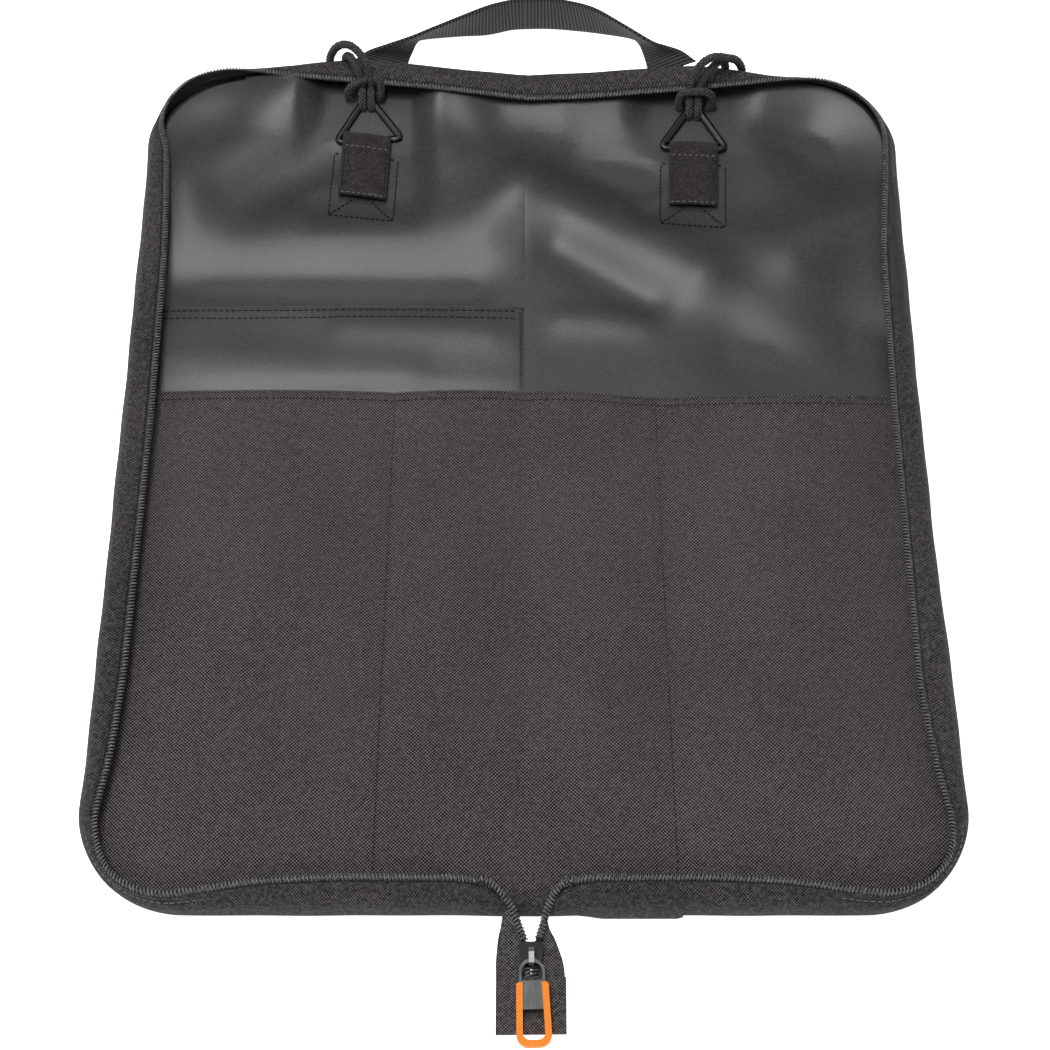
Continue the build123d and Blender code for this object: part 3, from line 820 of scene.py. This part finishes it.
def from_rim(x, y):
    """How far a place lies inside the bag's rounded outline."""
    over_x = np.abs(x) - (HALF_X - CORNER)
    over_y = np.abs(y) - (HALF_Y - CORNER)
    corner = CORNER - np.hypot(np.maximum(over_x, 0), np.maximum(over_y, 0))
    straight = np.minimum(HALF_X - np.abs(x), HALF_Y - np.abs(y))
    return np.where((over_x > 0) & (over_y > 0), corner, straight)


def lining_height(x, y):
    # it lies lower where the stick pocket covers it
    z = LINING_Z - 1.1 * (1 - smooth_step(y, -5.0, 32.0))
    for fold in FOLDS:
        z = z + FOLD_DEPTH * ridge(x, y, *fold)
    z = z + 0.12 * np.sin(x / 17.0 + y / 23.0) + 0.1 * np.sin(y / 11.0 - x / 29.0)
    # the cloth climbs to the zip along the top and round its corners, and less so up the sides
    near = 1 - smooth_step(from_rim(x, y), 1.0, 40.0)
    z = z + near * (1.8 * smooth_step(y, 45.0, 95.0) + 6.6 * smooth_step(y, 150.0, 222.0))
    # it stays flat under the tabs and the rings
    for side in SIDES:
        under = (1 - smooth_step(np.abs(x - TAB_X[side]), 22.0, 40.0)) * smooth_step(y, 130.0, 160.0)
        z = z * (1 - under) + np.minimum(z, 5.2 + 0.10 * np.clip(y - 188.0, 0, 60)) * under
    return np.maximum(z, 3.7)


# Soft folds of the stick pockets: from and to (x, y), how wide, how high.
POCKET_FOLDS = [
    (-36, 10, -30, -150, 9, 0.9), (-60, 20, -66, -120, 9, -0.8), (34, 5, 40, -120, 10, 0.8),
    (12, -30, 20, -215, 8, -0.9), (-18, -60, -22, -215, 8, 0.8), (-150, -20, -110, -90, 14, 0.7),
    (150, -30, 110, -110, 14, 0.7), (66, 10, 70, -110, 9, -0.7),
]


def pocket_height(side):
    def height(x, y):
        a = np.abs(x)
        channel = np.where(a < CHANNEL_SEAM, a / CHANNEL_SEAM, (a - CHANNEL_SEAM) / (190 - CHANNEL_SEAM))
        puff = np.sin(np.clip(channel, 0, 1) * math.pi) ** 0.7
        mouth = POCKET_MOUTH[side]
        depth = smooth_step(y, -236.0, -190.0)
        z = 6.2 + 2.6 * puff * depth
        z = z + 0.25 * np.sin(x / 21.0 + 0.6) * np.sin(y / 31.0) + 0.15 * np.sin(y / 15.0 + x / 26.0)
        z = z - 1.6 * (1 - smooth_step(y, -236.0, -216.0))
        for fold in POCKET_FOLDS:
            z = z + ridge(x, y, *fold)
        z = z + 0.5 * smooth_step(y, mouth - 8.0, mouth - 7.0)
        return z
    return height


# Soft folds of the document pocket: from and to (x, y), how wide, how high.
DOCUMENT_FOLDS = [
    (-180, 54, -60, 48, 12, 1.3), (-90, 76, -20, 72, 9, 0.8), (-150, 76, -110, 70, 12, -0.8),
    (-190, 72, -8, 72, 19, 1.9),
]


def document_height(x, y):
    a = np.abs(x)
    puff = np.sin(np.clip(a / 185.0, 0, 1) * math.pi) ** 0.5
    z = 5.6 + 1.9 * puff
    for fold in DOCUMENT_FOLDS:
        z = z + ridge(x, y, *fold)
    under = 1 - smooth_step(y, 30.0, 46.0)
    return z * (1 - under) + 5.3 * under


def shell_panel(side):
    rows = panel_rows(-HALF_Y, HALF_Y, 6.0)

    def height(x, y):
        return 0.85 + 0 * x
    obj = panel(side, side + "_shell", rows, 0.4, height, 0.8, SHELL, 40)
    on_half(obj, side, "shell_cloth", *with_spine(side, "_back_panel", "spine_shell"))


def foam_panel(side):
    """The padding: thick in the middle and pinched at its edge."""
    rows = panel_rows(-230.0, 230.0, 6.0)

    def height(x, y):
        edge = np.minimum(half_width(side, y, 5.0) - np.abs(x), 231 - np.abs(y))
        return 1.9 + 1.5 * smooth_step(edge, 0.0, 14.0)
    obj = panel(side, side + "_foam", rows, 5.0, height, 0.9, FOAM, 40)
    on_half(obj, side, "foam", *with_spine(side, "_foam_pad", "spine_foam_pad"))


def lining_panel(side):
    rows = panel_rows(-HALF_Y, HALF_Y, 3.0)
    obj = panel(side, side + "_lining_cloth", rows, 2.2, lining_height, 0.4, LINING, 74, inner=-4.0)
    on_half(obj, side, "lining_cloth", *with_spine(side, "_lining", "spine_lining"))


def hem(side, name, x, y, height, radius, flat, material, slot_name):
    """The rolled edge along a pocket's mouth."""
    line = np.stack([x, y, height(x, y)], axis=1)
    obj = join_parts(name, [tube_points(line, radius, 8, flat=flat)], material)
    on_half(obj, side, slot_name)


def stitches_on(side, name, start, end, height, slot_name, lift, **sizes):
    """A straight stitch line laid on a surface."""
    t = np.linspace(0, 1, 80)
    x = start[0] + (end[0] - start[0]) * t
    y = start[1] + (end[1] - start[1]) * t
    line = np.stack([x, y, height(x, y) + lift], axis=1)
    on_half(seam_thread(name, line, (0, 0, 1), material=DARK_THREAD, **sizes), side, slot_name)


def stick_pocket(side):
    """The woven pocket with its sewn channels."""
    sign = SIDES[side]
    mouth = POCKET_MOUTH[side]
    height = pocket_height(side)

    def mouth_y(x):
        return POCKET_MOUTH["left"] + (mouth - POCKET_MOUTH["left"]) * smooth_step(np.abs(x), 0, 60)

    rows = panel_rows(-HALF_Y, mouth, 3.2)
    x, y = panel_grid(side, rows, POCKET_INSET, 76, inner=-4.0)
    y = np.where(y > 0, y * mouth_y(x) / mouth, y * (HALF_Y - POCKET_INSET) / HALF_Y)
    z = height(x, y) - UNDERLAP_SLOPE * np.maximum(0.0, -sign * x)
    points = np.stack([x, y, z], axis=-1)
    obj = cloth(side + "_pocket_panel", points, grid_uvs(x, y), 0.7, POCKET, flip=(side == "left"))
    on_half(obj, side, "pocket_cloth", *with_spine(side, "_stick_pocket", "spine_pocket_strip"))
    edge = np.linspace(0, half_width(side, mouth, 3.0), 100) * sign

    def hem_height(x, y):
        return height(x, y) - 0.1
    hem(side, side + "_pocket_hem", edge, mouth_y(edge), hem_height, 0.8, 0.85, POCKET, "pocket_cloth")
    seam_y = mouth_y(edge) - HEM_WIDTH
    line = np.stack([edge, seam_y, height(edge, seam_y) + 0.25], axis=1)
    stitches = seam_thread(side + "_pocket_hem_stitches", line, (0, 0, 1), material=DARK_THREAD)
    on_half(stitches, side, "pocket_cloth")
    stitches_on(side, side + "_channel_stitches", (sign * CHANNEL_SEAM, mouth - 1),
                (sign * (CHANNEL_SEAM + 3), -222), height, "pocket_cloth", lift=0.25)


def document_pocket():
    """The flat pocket on the left half, between the lining and the stick pocket."""
    side = "left"
    mouth = DOCUMENT_MOUTH
    rows = np.concatenate([np.arange(-60.0, mouth, 3.0), [mouth - 0.4, mouth]])
    x, y = panel_grid(side, rows, 4.0, 66, inner=1.5, crisp=True)
    points = np.stack([x, y, document_height(x, y)], axis=-1)
    obj = cloth("left_document_pocket_cloth", points, grid_uvs(x, y), 0.45, LINING, flip=True)
    on_half(obj, side, "lining_cloth", "left_document_pocket")
    outer = -half_width(side, mouth, 4.0)
    edge = np.linspace(outer, -0.5, 90)

    def hem_height(x, y):
        return document_height(x, y) + 0.05
    hem(side, "document_pocket_edge", edge, mouth + 0 * edge, hem_height, 0.45, 0.8, LINING, "lining_cloth")
    seams = {
        "stitches_1": ((outer + 1, mouth - 2.2), (-2, mouth - 2.2)),
        "stitches_2": ((outer + 1, mouth - 7.0), (-2, mouth - 7.0)),
        "side_stitches": ((-2.5, mouth - 2), (-2.5, 36)),
    }
    for name, (start, end) in seams.items():
        stitches_on(side, "document_pocket_" + name, start, end, document_height, "lining_cloth", lift=0.2)


# ---------------------------------------------------------------- tabs, rings, hitches and cords
def turned(points, centre, degrees):
    """Points turned about a vertical line through a centre."""
    angle = math.radians(degrees)
    c, s = math.cos(angle), math.sin(angle)
    out = np.array(points, float)
    dx = out[..., 0] - centre[0]
    dy = out[..., 1] - centre[1]
    out[..., 0] = centre[0] + dx * c - dy * s
    out[..., 1] = centre[1] + dx * s + dy * c
    return out


TAB_WIDTH = 25.6
TAB_END = 158.0
TAB_PLY = 0.9
TAB_SEAM = 189.5
# How high the tab's lower face lies, as (y, z).
TAB_LEVELS = [(TAB_END, 7.6), (TAB_END + 3, 8.0), (172, 8.2), (184, 8.2), (TAB_SEAM, 8.4)]
BOX_X = (-17.2, 17.2)
BOX_Y = (144.0, 186.5)


def straight(start, end, count):
    """Points evenly spaced from one point to another."""
    t = np.linspace(0, 1, count)[:, None]
    return np.array(start) * (1 - t) + np.array(end) * t


def tab_line(side, points):
    """Tab points given about the ring's bar, slanted, turned and moved to their side."""
    out = np.array(points, float)
    out[..., 1] += TAB_SLANT[side] * out[..., 0]
    out[..., 0] += TAB_X[side]
    out[..., 1] += TAB_SHIFT[side]
    return turned(out, (TAB_X[side], RING_AXIS[0] + TAB_SHIFT[side]), TAB_TURN[side])


def tab_loop(side):
    """The folded tab: up from under the lining patch, round the ring's bar and back down."""
    axis_y, axis_z = RING_AXIS
    profile = [(TAB_END + 8, 5.9), (180, 5.7), (axis_y - 5, 4.9), (axis_y - 0.5, 4.4)]
    for a in np.radians(np.linspace(-80, 80, 9)):
        profile.append((axis_y + 2.5 * math.cos(a), axis_z + 2.6 * math.sin(a)))
    profile += [(axis_y - 2.5, axis_z + 2.3), (axis_y - 7, 8.4), (184, 8.2), (172, 8.2), (TAB_END + 3, 8.0),
                (TAB_END, 7.6)]
    line = smooth_path([(0, y, z) for y, z in profile], 1.0)
    x = np.linspace(-TAB_WIDTH / 2, TAB_WIDTH / 2, 15)
    points = np.zeros((len(line), len(x), 3))
    points[..., 0] = x[None]
    points[..., 1] = line[:, 1][:, None]
    points[..., 2] = line[:, 2][:, None] + 0.25 * np.cos(x / 5.0)[None]
    run = run_along(line)
    uvs = grid_uvs(x[None], run[:, None])
    obj = cloth(side + "_tab_loop", tab_line(side, points), uvs, TAB_PLY, TAB)
    belongs(obj, side + "_half", "webbing", side + "_tab")
    half = TAB_WIDTH / 2
    seams = [
        ((0.8 - half, TAB_SEAM), (half - 0.8, TAB_SEAM)),
        ((1.6 - half, TAB_SEAM - 1), (1.6 - half, TAB_END + 1.5)),
        ((half - 1.6, TAB_SEAM - 1), (half - 1.6, TAB_END + 1.5)),
        ((0.6 - half, TAB_END + 1), (half - 0.6, TAB_END + 1)),
    ]
    for i, (start, end) in enumerate(seams):
        flat_line = straight(start, end, 24)
        level = np.interp(flat_line[:, 1], *zip(*TAB_LEVELS))
        level = level + TAB_PLY + 0.25 * np.cos(flat_line[:, 0] / 5.0)
        line = tab_line(side, np.column_stack([flat_line, level]))
        colour = THREAD if i in (0, 3) else DARK_THREAD
        stitch = seam_thread(f"{side}_tab_stitches_{i + 1}", line, (0, 0, 1), colour,
                             pitch=3.0, length=2.0, radius=0.36)
        belongs(stitch, side + "_half", "webbing")


def tab_box(side):
    """The box of stitches and its two diagonals that hold the patch behind the tab's root."""
    (x0, x1), (y0, y1) = BOX_X, BOX_Y
    runs = [((x0, y1), (x0, y0)), ((x0, y0), (x1, y0)), ((x1, y0), (x1, y1)), ((x0, y1), (-12.6, y1)),
            ((12.6, y1), (x1, y1)), ((x0, y0), (-4, 158)), ((x1, y0), (4, 158))]
    parts = []
    for start, end in runs:
        path = tab_line(side, np.column_stack([straight(start, end, 30), np.zeros(30)]))
        path[:, 2] = lining_height(path[:, 0], path[:, 1]) + 0.2
        parts += stitch_parts(path, (0, 0, 1), pitch=2.8, length=1.9, radius=0.36)
    stitches = join_parts(side + "_box_stitches", parts, DARK_THREAD)
    belongs(stitches, side + "_half", "lining_cloth", side + "_tab_patch")


CORD_DIAMETER = 4.0
BRAID_PITCH = 9.0
LOOPS = {
    "left": [
        (-0.0826, 0.2255, 0.0157), (-0.0828, 0.2266, 0.0214), (-0.0848, 0.2306, 0.0286),
        (-0.0890, 0.2356, 0.0334), (-0.0948, 0.2392, 0.0352), (-0.1008, 0.2414, 0.0308),
        (-0.1048, 0.2438, 0.0218), (-0.1064, 0.2458, 0.0124), (-0.1062, 0.2468, 0.0048),
        (-0.1018, 0.2472, 0.0017), (-0.0974, 0.2466, 0.0052), (-0.0972, 0.2450, 0.0136),
        (-0.0968, 0.2416, 0.0226), (-0.0938, 0.2366, 0.0282), (-0.0904, 0.2306, 0.0272),
        (-0.0880, 0.2268, 0.0218), (-0.0874, 0.2255, 0.0157),
    ],
    "right": [
        (0.0880, 0.2201, 0.0157), (0.0882, 0.2210, 0.0212), (0.0904, 0.2242, 0.0288),
        (0.0950, 0.2280, 0.0340), (0.1016, 0.2304, 0.0354), (0.1084, 0.2316, 0.0322),
        (0.1132, 0.2358, 0.0266), (0.1172, 0.2398, 0.0166), (0.1186, 0.2404, 0.0080),
        (0.1170, 0.2410, 0.0024), (0.1118, 0.2410, 0.0022), (0.1090, 0.2402, 0.0080),
        (0.1086, 0.2398, 0.0168), (0.1062, 0.2362, 0.0260), (0.1022, 0.2310, 0.0286),
        (0.0972, 0.2260, 0.0268), (0.0934, 0.2216, 0.0214), (0.0926, 0.2201, 0.0157),
    ],
}
# Each hitch: a strand down through the ring as (y, z), the two strands' places across it, and
# the bar that lies over them.
HITCH_STRAND = [
    (226.5, 13.6), (223.2, 15.6), (219.8, 13.6), (216.8, 9.8), (217.6, 6.2), (221.6, 4.8), (226.4, 5.4),
    (228.4, 9.4),
]
HITCH_STRANDS = {"left": (-3.1, 1.7), "right": (-1.7, 2.9)}
HITCH_BARS = {
    "left": [(-5.0, 223.5, 5.4), (-9.8, 223.0, 10.0), (-10.3, 223.3, 16.3), (-4.8, 225.4, 20.3),
             (2.8, 227.0, 21.3), (6.7, 224.9, 19.3), (6.6, 222.3, 13.3), (5.0, 222.5, 6.4)],
    "right": [(-4.6, 222.5, 5.6), (-7.0, 222.6, 10.4), (-6.7, 223.8, 16.3), (-3.4, 223.5, 20.3),
              (7.0, 223.5, 20.3), (10.3, 223.1, 16.3), (10.0, 222.6, 10.6), (6.0, 222.5, 6.0)],
}


def spline_path(name, points):
    """The smooth line of a NURBS spline with these control points, in mm."""
    curve = bpy.data.curves.new(name, "CURVE")
    curve.dimensions = "3D"
    curve.resolution_u = 10
    spline = curve.splines.new("NURBS")
    spline.points.add(len(points) - 1)
    for point, place in zip(spline.points, points):
        point.co = (*place, 1.0)
    spline.order_u = 3
    spline.use_endpoint_u = True
    holder = bpy.data.objects.new(name, curve)
    bpy.context.collection.objects.link(holder)
    bpy.context.view_layer.update()
    mesh = bpy.data.meshes.new_from_object(holder)
    path = np.array([v.co[:] for v in mesh.vertices]) / MM
    bpy.data.objects.remove(holder)
    bpy.data.curves.remove(curve)
    bpy.data.meshes.remove(mesh)
    return path


def braid(path, diameter=CORD_DIAMETER, strands=5):
    """A braided cord along a path: two sets of strands that pass over and under each other."""
    path, at = resample(path, 0.75)
    side, over = transport(path)
    radius = diameter / 2
    parts = [(*tube_points(path, radius * 0.84, 10), 1)]
    wave = 0.34 * np.cos(2 * strands * math.pi * at / BRAID_PITCH)
    for turn in (1, -1):
        lay = radius * 0.84 + turn * wave
        for k in range(strands):
            angle = 2 * math.pi * k / strands + turn * 2 * math.pi * at / BRAID_PITCH
            line = path + side * (lay * np.cos(angle))[:, None] + over * (lay * np.sin(angle))[:, None]
            parts.append(tube_points(line, 0.52, 5))
    return parts


def hanging_cord(side):
    """The loop of cord that hangs the bag from a drum, from the hitch and back into it."""
    path = spline_path(side + "_route", LOOPS[side])
    obj = join_parts(side + "_cord_loop", braid(path), (CORD, CORD_CORE))
    belongs(obj, side + "_loop", "cord", side + "_loop_cord")


def triangle_ring(side):
    """The wire ring: a bar in the tab's fold and two sides that meet in a rounded apex."""
    half, height, corner = RING_SIZE
    corners = [np.array(p, float) for p in ((-half, 0), (half, 0), (0, height))]
    flat = [np.array([0.0, 0.0])]
    for i in (1, 2, 0):
        here, before, after = corners[i], corners[i - 1], corners[(i + 1) % 3]
        reach = corner * (1.2 if i == 2 else 1.0)
        start = here + reach * (before - here) / np.linalg.norm(before - here)
        end = here + reach * (after - here) / np.linalg.norm(after - here)
        for t in np.linspace(0, 1, 9):
            flat.append(start * (1 - t) ** 2 + 2 * here * t * (1 - t) + end * t * t)
    flat.append(np.array([-0.01, 0.0]))
    flat = resample(np.column_stack([flat, np.zeros(len(flat))]), 0.8)[0]
    tilt = math.radians(RING_TILT)
    turn = math.radians(RING_TURN[side])
    x = flat[:, 0] * math.cos(turn) + flat[:, 1] * math.sin(turn)
    y = flat[:, 1] * math.cos(turn) - flat[:, 0] * math.sin(turn)
    path = np.column_stack([
        x + TAB_X[side] + RING_ASIDE[side],
        y * math.cos(tilt) + RING_AXIS[0] + TAB_SHIFT[side],
        y * math.sin(tilt) + RING_AXIS[1],
    ])
    obj = join_parts(side + "_wire_ring", [tube_points(path, RING_WIRE, 14, flat=RING_WIRE_FLAT)], METAL)
    belongs(obj, side + "_ring", "dark_metal", side + "_triangle_ring")


def cord_knot(side):
    """The cord's hitch round the ring: two strands down through it and a bar across them."""
    moved = np.array([TAB_X[side], TAB_SHIFT[side], 0.0])
    lines = [[(shift, *place) for place in HITCH_STRAND] for shift in HITCH_STRANDS[side]]
    parts = []
    for line in lines + [HITCH_BARS[side]]:
        parts += braid(smooth_path(np.array(line) + moved, 1.0))
    obj = join_parts(side + "_cord_knot", parts, (CORD, CORD_CORE))
    belongs(obj, side + "_ring", "cord", side + "_cord_hitch")


# ---------------------------------------------------------------- carry handle
# The band's upper edge and lower edge, from the middle to where each end is sewn in.
HANDLE_EDGES = {
    "left": [
        ((0, 279.4, 25.2), (0, 281.2, 0.5)), ((-9, 278.2, 25.2), (-8, 280.4, 0.5)),
        ((-20.6, 274.5, 25), (-21, 276.9, 0.5)), ((-35, 267, 25), (-36, 276, 0.5)),
        ((-52.4, 258.1, 24.5), (-55.2, 273.4, 1)), ((-62, 254.3, 23), (-60.1, 269.3, 2.5)),
        ((-76, 250, 21), (-62.5, 258.8, 5)), ((-86, 247.7, 18.6), (-64, 249, 8)),
        ((-93, 244, 16), (-65, 241, 9)),
    ],
    "right": [
        ((0, 279.4, 25.2), (0, 281.2, 0.5)), ((11, 279.8, 25), (11.4, 281.4, 0.5)),
        ((21, 278.7, 25), (24, 280.4, 0.5)), ((36.8, 273.4, 25), (41.4, 278, 0.5)),
        ((52.7, 261.7, 25), (58.6, 274, 1)), ((68.5, 251.1, 23), (63.4, 268.3, 2.5)),
        ((76, 249, 21.6), (65.7, 257.4, 5)), ((85, 247.4, 19.4), (66.9, 246, 8)),
        ((93, 243.6, 16), (67.5, 239, 9)),
    ],
}


HANDLE_WIDTH = 25.0


def carry_handle(side):
    """Half of the webbing handle, upright in the middle and turned flat where it is sewn in."""
    sign = SIDES[side]
    share = np.linspace(0, 1, 96)

    def even(edge):
        fine = spline_through(edge, 24)
        run = np.linspace(0, 1, len(fine))
        return points_at(share, run, fine)
    top = even([a for a, b in HANDLE_EDGES[side]])
    low = even([b for a, b in HANDLE_EDGES[side]])
    middle = (top + low) / 2
    run = run_along(middle)
    v = np.linspace(0, 1, 15)
    points = low[:, None] * (1 - v[None, :, None]) + top[:, None] * v[None, :, None]
    tangent = unit(np.gradient(middle, axis=0))
    normal = unit(np.cross(tangent, unit(top - low)))
    belly = 0.5 * np.sin(v * math.pi)
    points = points - normal[:, None] * belly[None, :, None] * sign
    uvs = grid_uvs(run[:, None], v[None] * HANDLE_WIDTH)
    obj = cloth(side + "_handle_band", points, uvs, 1.7, WEBBING, flip=(side == "right"))
    obj.modifiers["thickness"].offset = 0
    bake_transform(obj)
    wears(obj, "webbing", *(["carry_handle"] if side == "left" else []))


# ---------------------------------------------------------------- the zip's tail
TAIL_X = 2.8
LEAD_FOOT = -248.0
# Each tape down the tail: y, inner edge from the middle, outer edge (its own x), height.
TAIL_STATIONS = {
    "left": [
        (-226, 0.6, -9.6, 9.0), (-231, 0.8, -9.6, 7.4), (-236, 1.0, -9.8, 5.4), (-242, 1.2, -10.8, 3.6),
        (-247, 1.4, -11.9, 2.4), (-253, 1.2, -12.5, 1.9), (-258, 0.8, -12.8, 1.9),
        (-266, 0.2, -12.7, 1.9), (-288.6, 0.2, -12.6, 1.9),
    ],
    "right": [
        (-226, 0.6, 14.2, 9.6), (-231, 0.8, 10.4, 7.8), (-236, 1.0, 9.8, 5.4), (-242, 1.2, 10.6, 3.6),
        (-247, 1.4, 13.2, 2.4), (-253, 1.2, 15.4, 1.9), (-258, 0.8, 16.8, 1.9), (-266, 0.2, 17.5, 1.9),
        (-288.6, 0.2, 17.8, 1.9),
    ],
}


def tail_tape(side):
    """One of the zip tapes that leave the bag's foot, widen and end in the folded end tab."""
    stations = TAIL_STATIONS[side]
    line = smooth_path([station[:3] for station in stations], 1.2)
    level = np.interp(-line[:, 0], [-s[0] for s in stations], [s[3] for s in stations])
    lead = smooth_path(ZIP_LEAD[side], 1.2)
    t = np.linspace(0, 1, 12)[:, None]
    rows = []
    for (y, inner, outer), z in zip(line, level):
        # beside the coil the tape turns up towards the lead
        if y > LEAD_FOOT:
            near = np.interp(-y, -lead[:, 1], lead[:, 0])
            near_z = np.interp(-y, -lead[:, 1], lead[:, 2]) - 0.6
        else:
            near = TAIL_X + SIDES[side] * inner
            near_z = z
        eased = smooth_step(t, 0.0, 1.0)
        rows.append(np.column_stack([near + (outer - near) * t, y + 0 * t, near_z + (z - near_z) * eased]))
    points = np.array(rows)
    uvs = grid_uvs(points[..., 0], points[..., 1])
    obj = cloth(side + "_tail_cloth", points, uvs, 0.6, TAIL, flip=(side == "right"))
    belongs(obj, "spine", "zip_tape", side + "_tail_tape")


def tail_end():
    """The cloth tab folded over the end of the tapes."""
    x = np.linspace(-15.3, 15.3, 23)
    profile = [
        (-264.4, 3.0), (-265.4, 3.5), (-270, 3.6), (-280, 3.5), (-287.5, 3.3), (-289.4, 2.4),
        (-289.4, 1.2), (-287.5, 0.7), (-280, 0.6), (-266, 0.6),
    ]
    line = smooth_path([(0, y, z) for y, z in profile], 0.8)
    run = run_along(line)
    points = np.zeros((len(line), len(x), 3))
    points[..., 0] = TAIL_X - 0.2 + x[None]
    points[..., 1] = line[:, 1][:, None] + 0.012 * x[None]
    # the upper ply is lifted by the coil under it
    ripple = 0.81 * np.exp(-((x / 4.2) ** 2))
    points[..., 2] = line[:, 2][:, None] + np.where(line[:, 2] > 2.2, 1.0, 0.0)[:, None] * ripple[None]
    obj = cloth("tail_end_tab", points, grid_uvs(x[None], run[:, None]), 0.5, TAIL, flip=True)
    belongs(obj, "spine", "zip_tape", "zip_end_tab")


def tail_coil():
    """The joined coil between the slider and the end tab."""
    at = np.linspace(0, 36.0, 36 * 6)
    parts = []
    for sign in (-1, 1):
        angle = at / TOOTH_PITCH * 2 * math.pi + (math.pi if sign > 0 else 0)
        x = TAIL_X + sign * 1.35 + COIL_REACH * np.cos(angle)
        z = 2.95 + COIL_RISE * np.sin(angle)
        parts.append(tube_points(np.column_stack([x, -250.0 - at, z]), 0.42, 5))
    obj = join_parts("tail_coil", parts, COIL)
    belongs(obj, "spine", "zip_coil", "zip_tail_chain")


def gusset_join():
    """Where the gusset strip's two ends meet: a short overlap with a rounded end."""
    side = "right"
    along = np.linspace(RIM_LENGTH - 69.5, RIM_LENGTH - 24, 40)
    section, _ = gusset_section(side, along)
    rows = section[1:20]
    points = np.stack([rim_place(side, along, row[0], row[1]) for row in rows])
    place = outline(along)
    rises = smooth_step(along, along[0] - 3.0, along[0] + 3.0)
    falls = smooth_step(along, along[-1] - 12, along[-1])
    lift = 1.5 * rises * (1 - falls)
    points[:, :, 1] += place[None, :, 3] * (lift + 0.2)
    points[:, :, 2] += 0.35 * lift
    uvs = grid_uvs(along[None], np.linspace(0, 28, len(rows))[:, None])
    obj = cloth("gusset_join_overlap", points, uvs, 0.9, GUSSET)
    on_half(obj, side, "gusset_cloth")


# ---------------------------------------------------------------- frame parts that stay
def finish_frame_parts():
    finishes = {"slider_body": BLACK, "slider_bail": BRIGHT, "puller_plate": METAL, "puller_grip": ORANGE}
    for node, material in finishes.items():
        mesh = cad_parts[node]
        mesh.data.materials.clear()
        mesh.data.materials.append(material)


# ---------------------------------------------------------------- floor and light
def floor_and_light():
    size = 30.0
    points = np.array([(-size, -size, 0), (size, -size, 0), (size, size, 0), (-size, size, 0)]) * 1000
    points[:, 2] = -0.4
    n = Nodes("floor", 0.9, specular=0.0)
    n.shader.inputs["Base Color"].default_value = (0.9, 0.9, 0.9, 1)
    n.shader.inputs["Emission Color"].default_value = (1, 1, 1, 1)
    n.shader.inputs["Emission Strength"].default_value = 0.95
    floor = new_mesh("floor", points, [(0, 1, 2, 3)])
    floor.data.materials.append(n.material)
    world = bpy.data.worlds.new("studio")
    world.use_nodes = True
    world.node_tree.nodes["Background"].inputs[0].default_value = (1, 1, 1, 1)
    world.node_tree.nodes["Background"].inputs[1].default_value = 0.18
    bpy.context.scene.world = world
    lights = [
        ("key_light", (-0.30, 0.12, 1.7), (1.05, 0.48), 22.0),
        ("back_light", (0.2, 1.5, 1.5), (1.6, 0.6), 2.5),
        ("front_light", (-0.2, -1.5, 1.0), (1.4, 0.5), 6.0),
        ("left_light", (-1.5, 0.2, 0.9), (0.5, 1.0), 5.0),
        ("right_light", (1.5, 0.2, 0.9), (0.5, 1.0), 2.0),
    ]
    for name, place, (width, depth), power in lights:
        data = bpy.data.lights.new(name, "AREA")
        data.shape = "RECTANGLE"
        data.size = width
        data.size_y = depth
        data.energy = power
        lamp = bpy.data.objects.new(name, data)
        lamp.location = place
        direction = -np.array(place)
        yaw = math.atan2(direction[1], direction[0])
        pitch = math.atan2(math.hypot(direction[0], direction[1]), -direction[2])
        lamp.rotation_euler = (pitch, 0, yaw - math.pi / 2)
        bpy.context.collection.objects.link(lamp)
    bpy.context.scene.view_settings.view_transform = "Standard"


for side in SIDES:
    hanging_cord(side)
for side in SIDES:
    shell_panel(side)
    foam_panel(side)
    lining_panel(side)
    stick_pocket(side)
    gusset_wall(side)
    rim_zip(side)
    tab_box(side)
    tab_loop(side)
    triangle_ring(side)
    cord_knot(side)
    carry_handle(side)
document_pocket()
for side in SIDES:
    tail_tape(side)
tail_end()
tail_coil()
gusset_join()
finish_frame_parts()
floor_and_light()
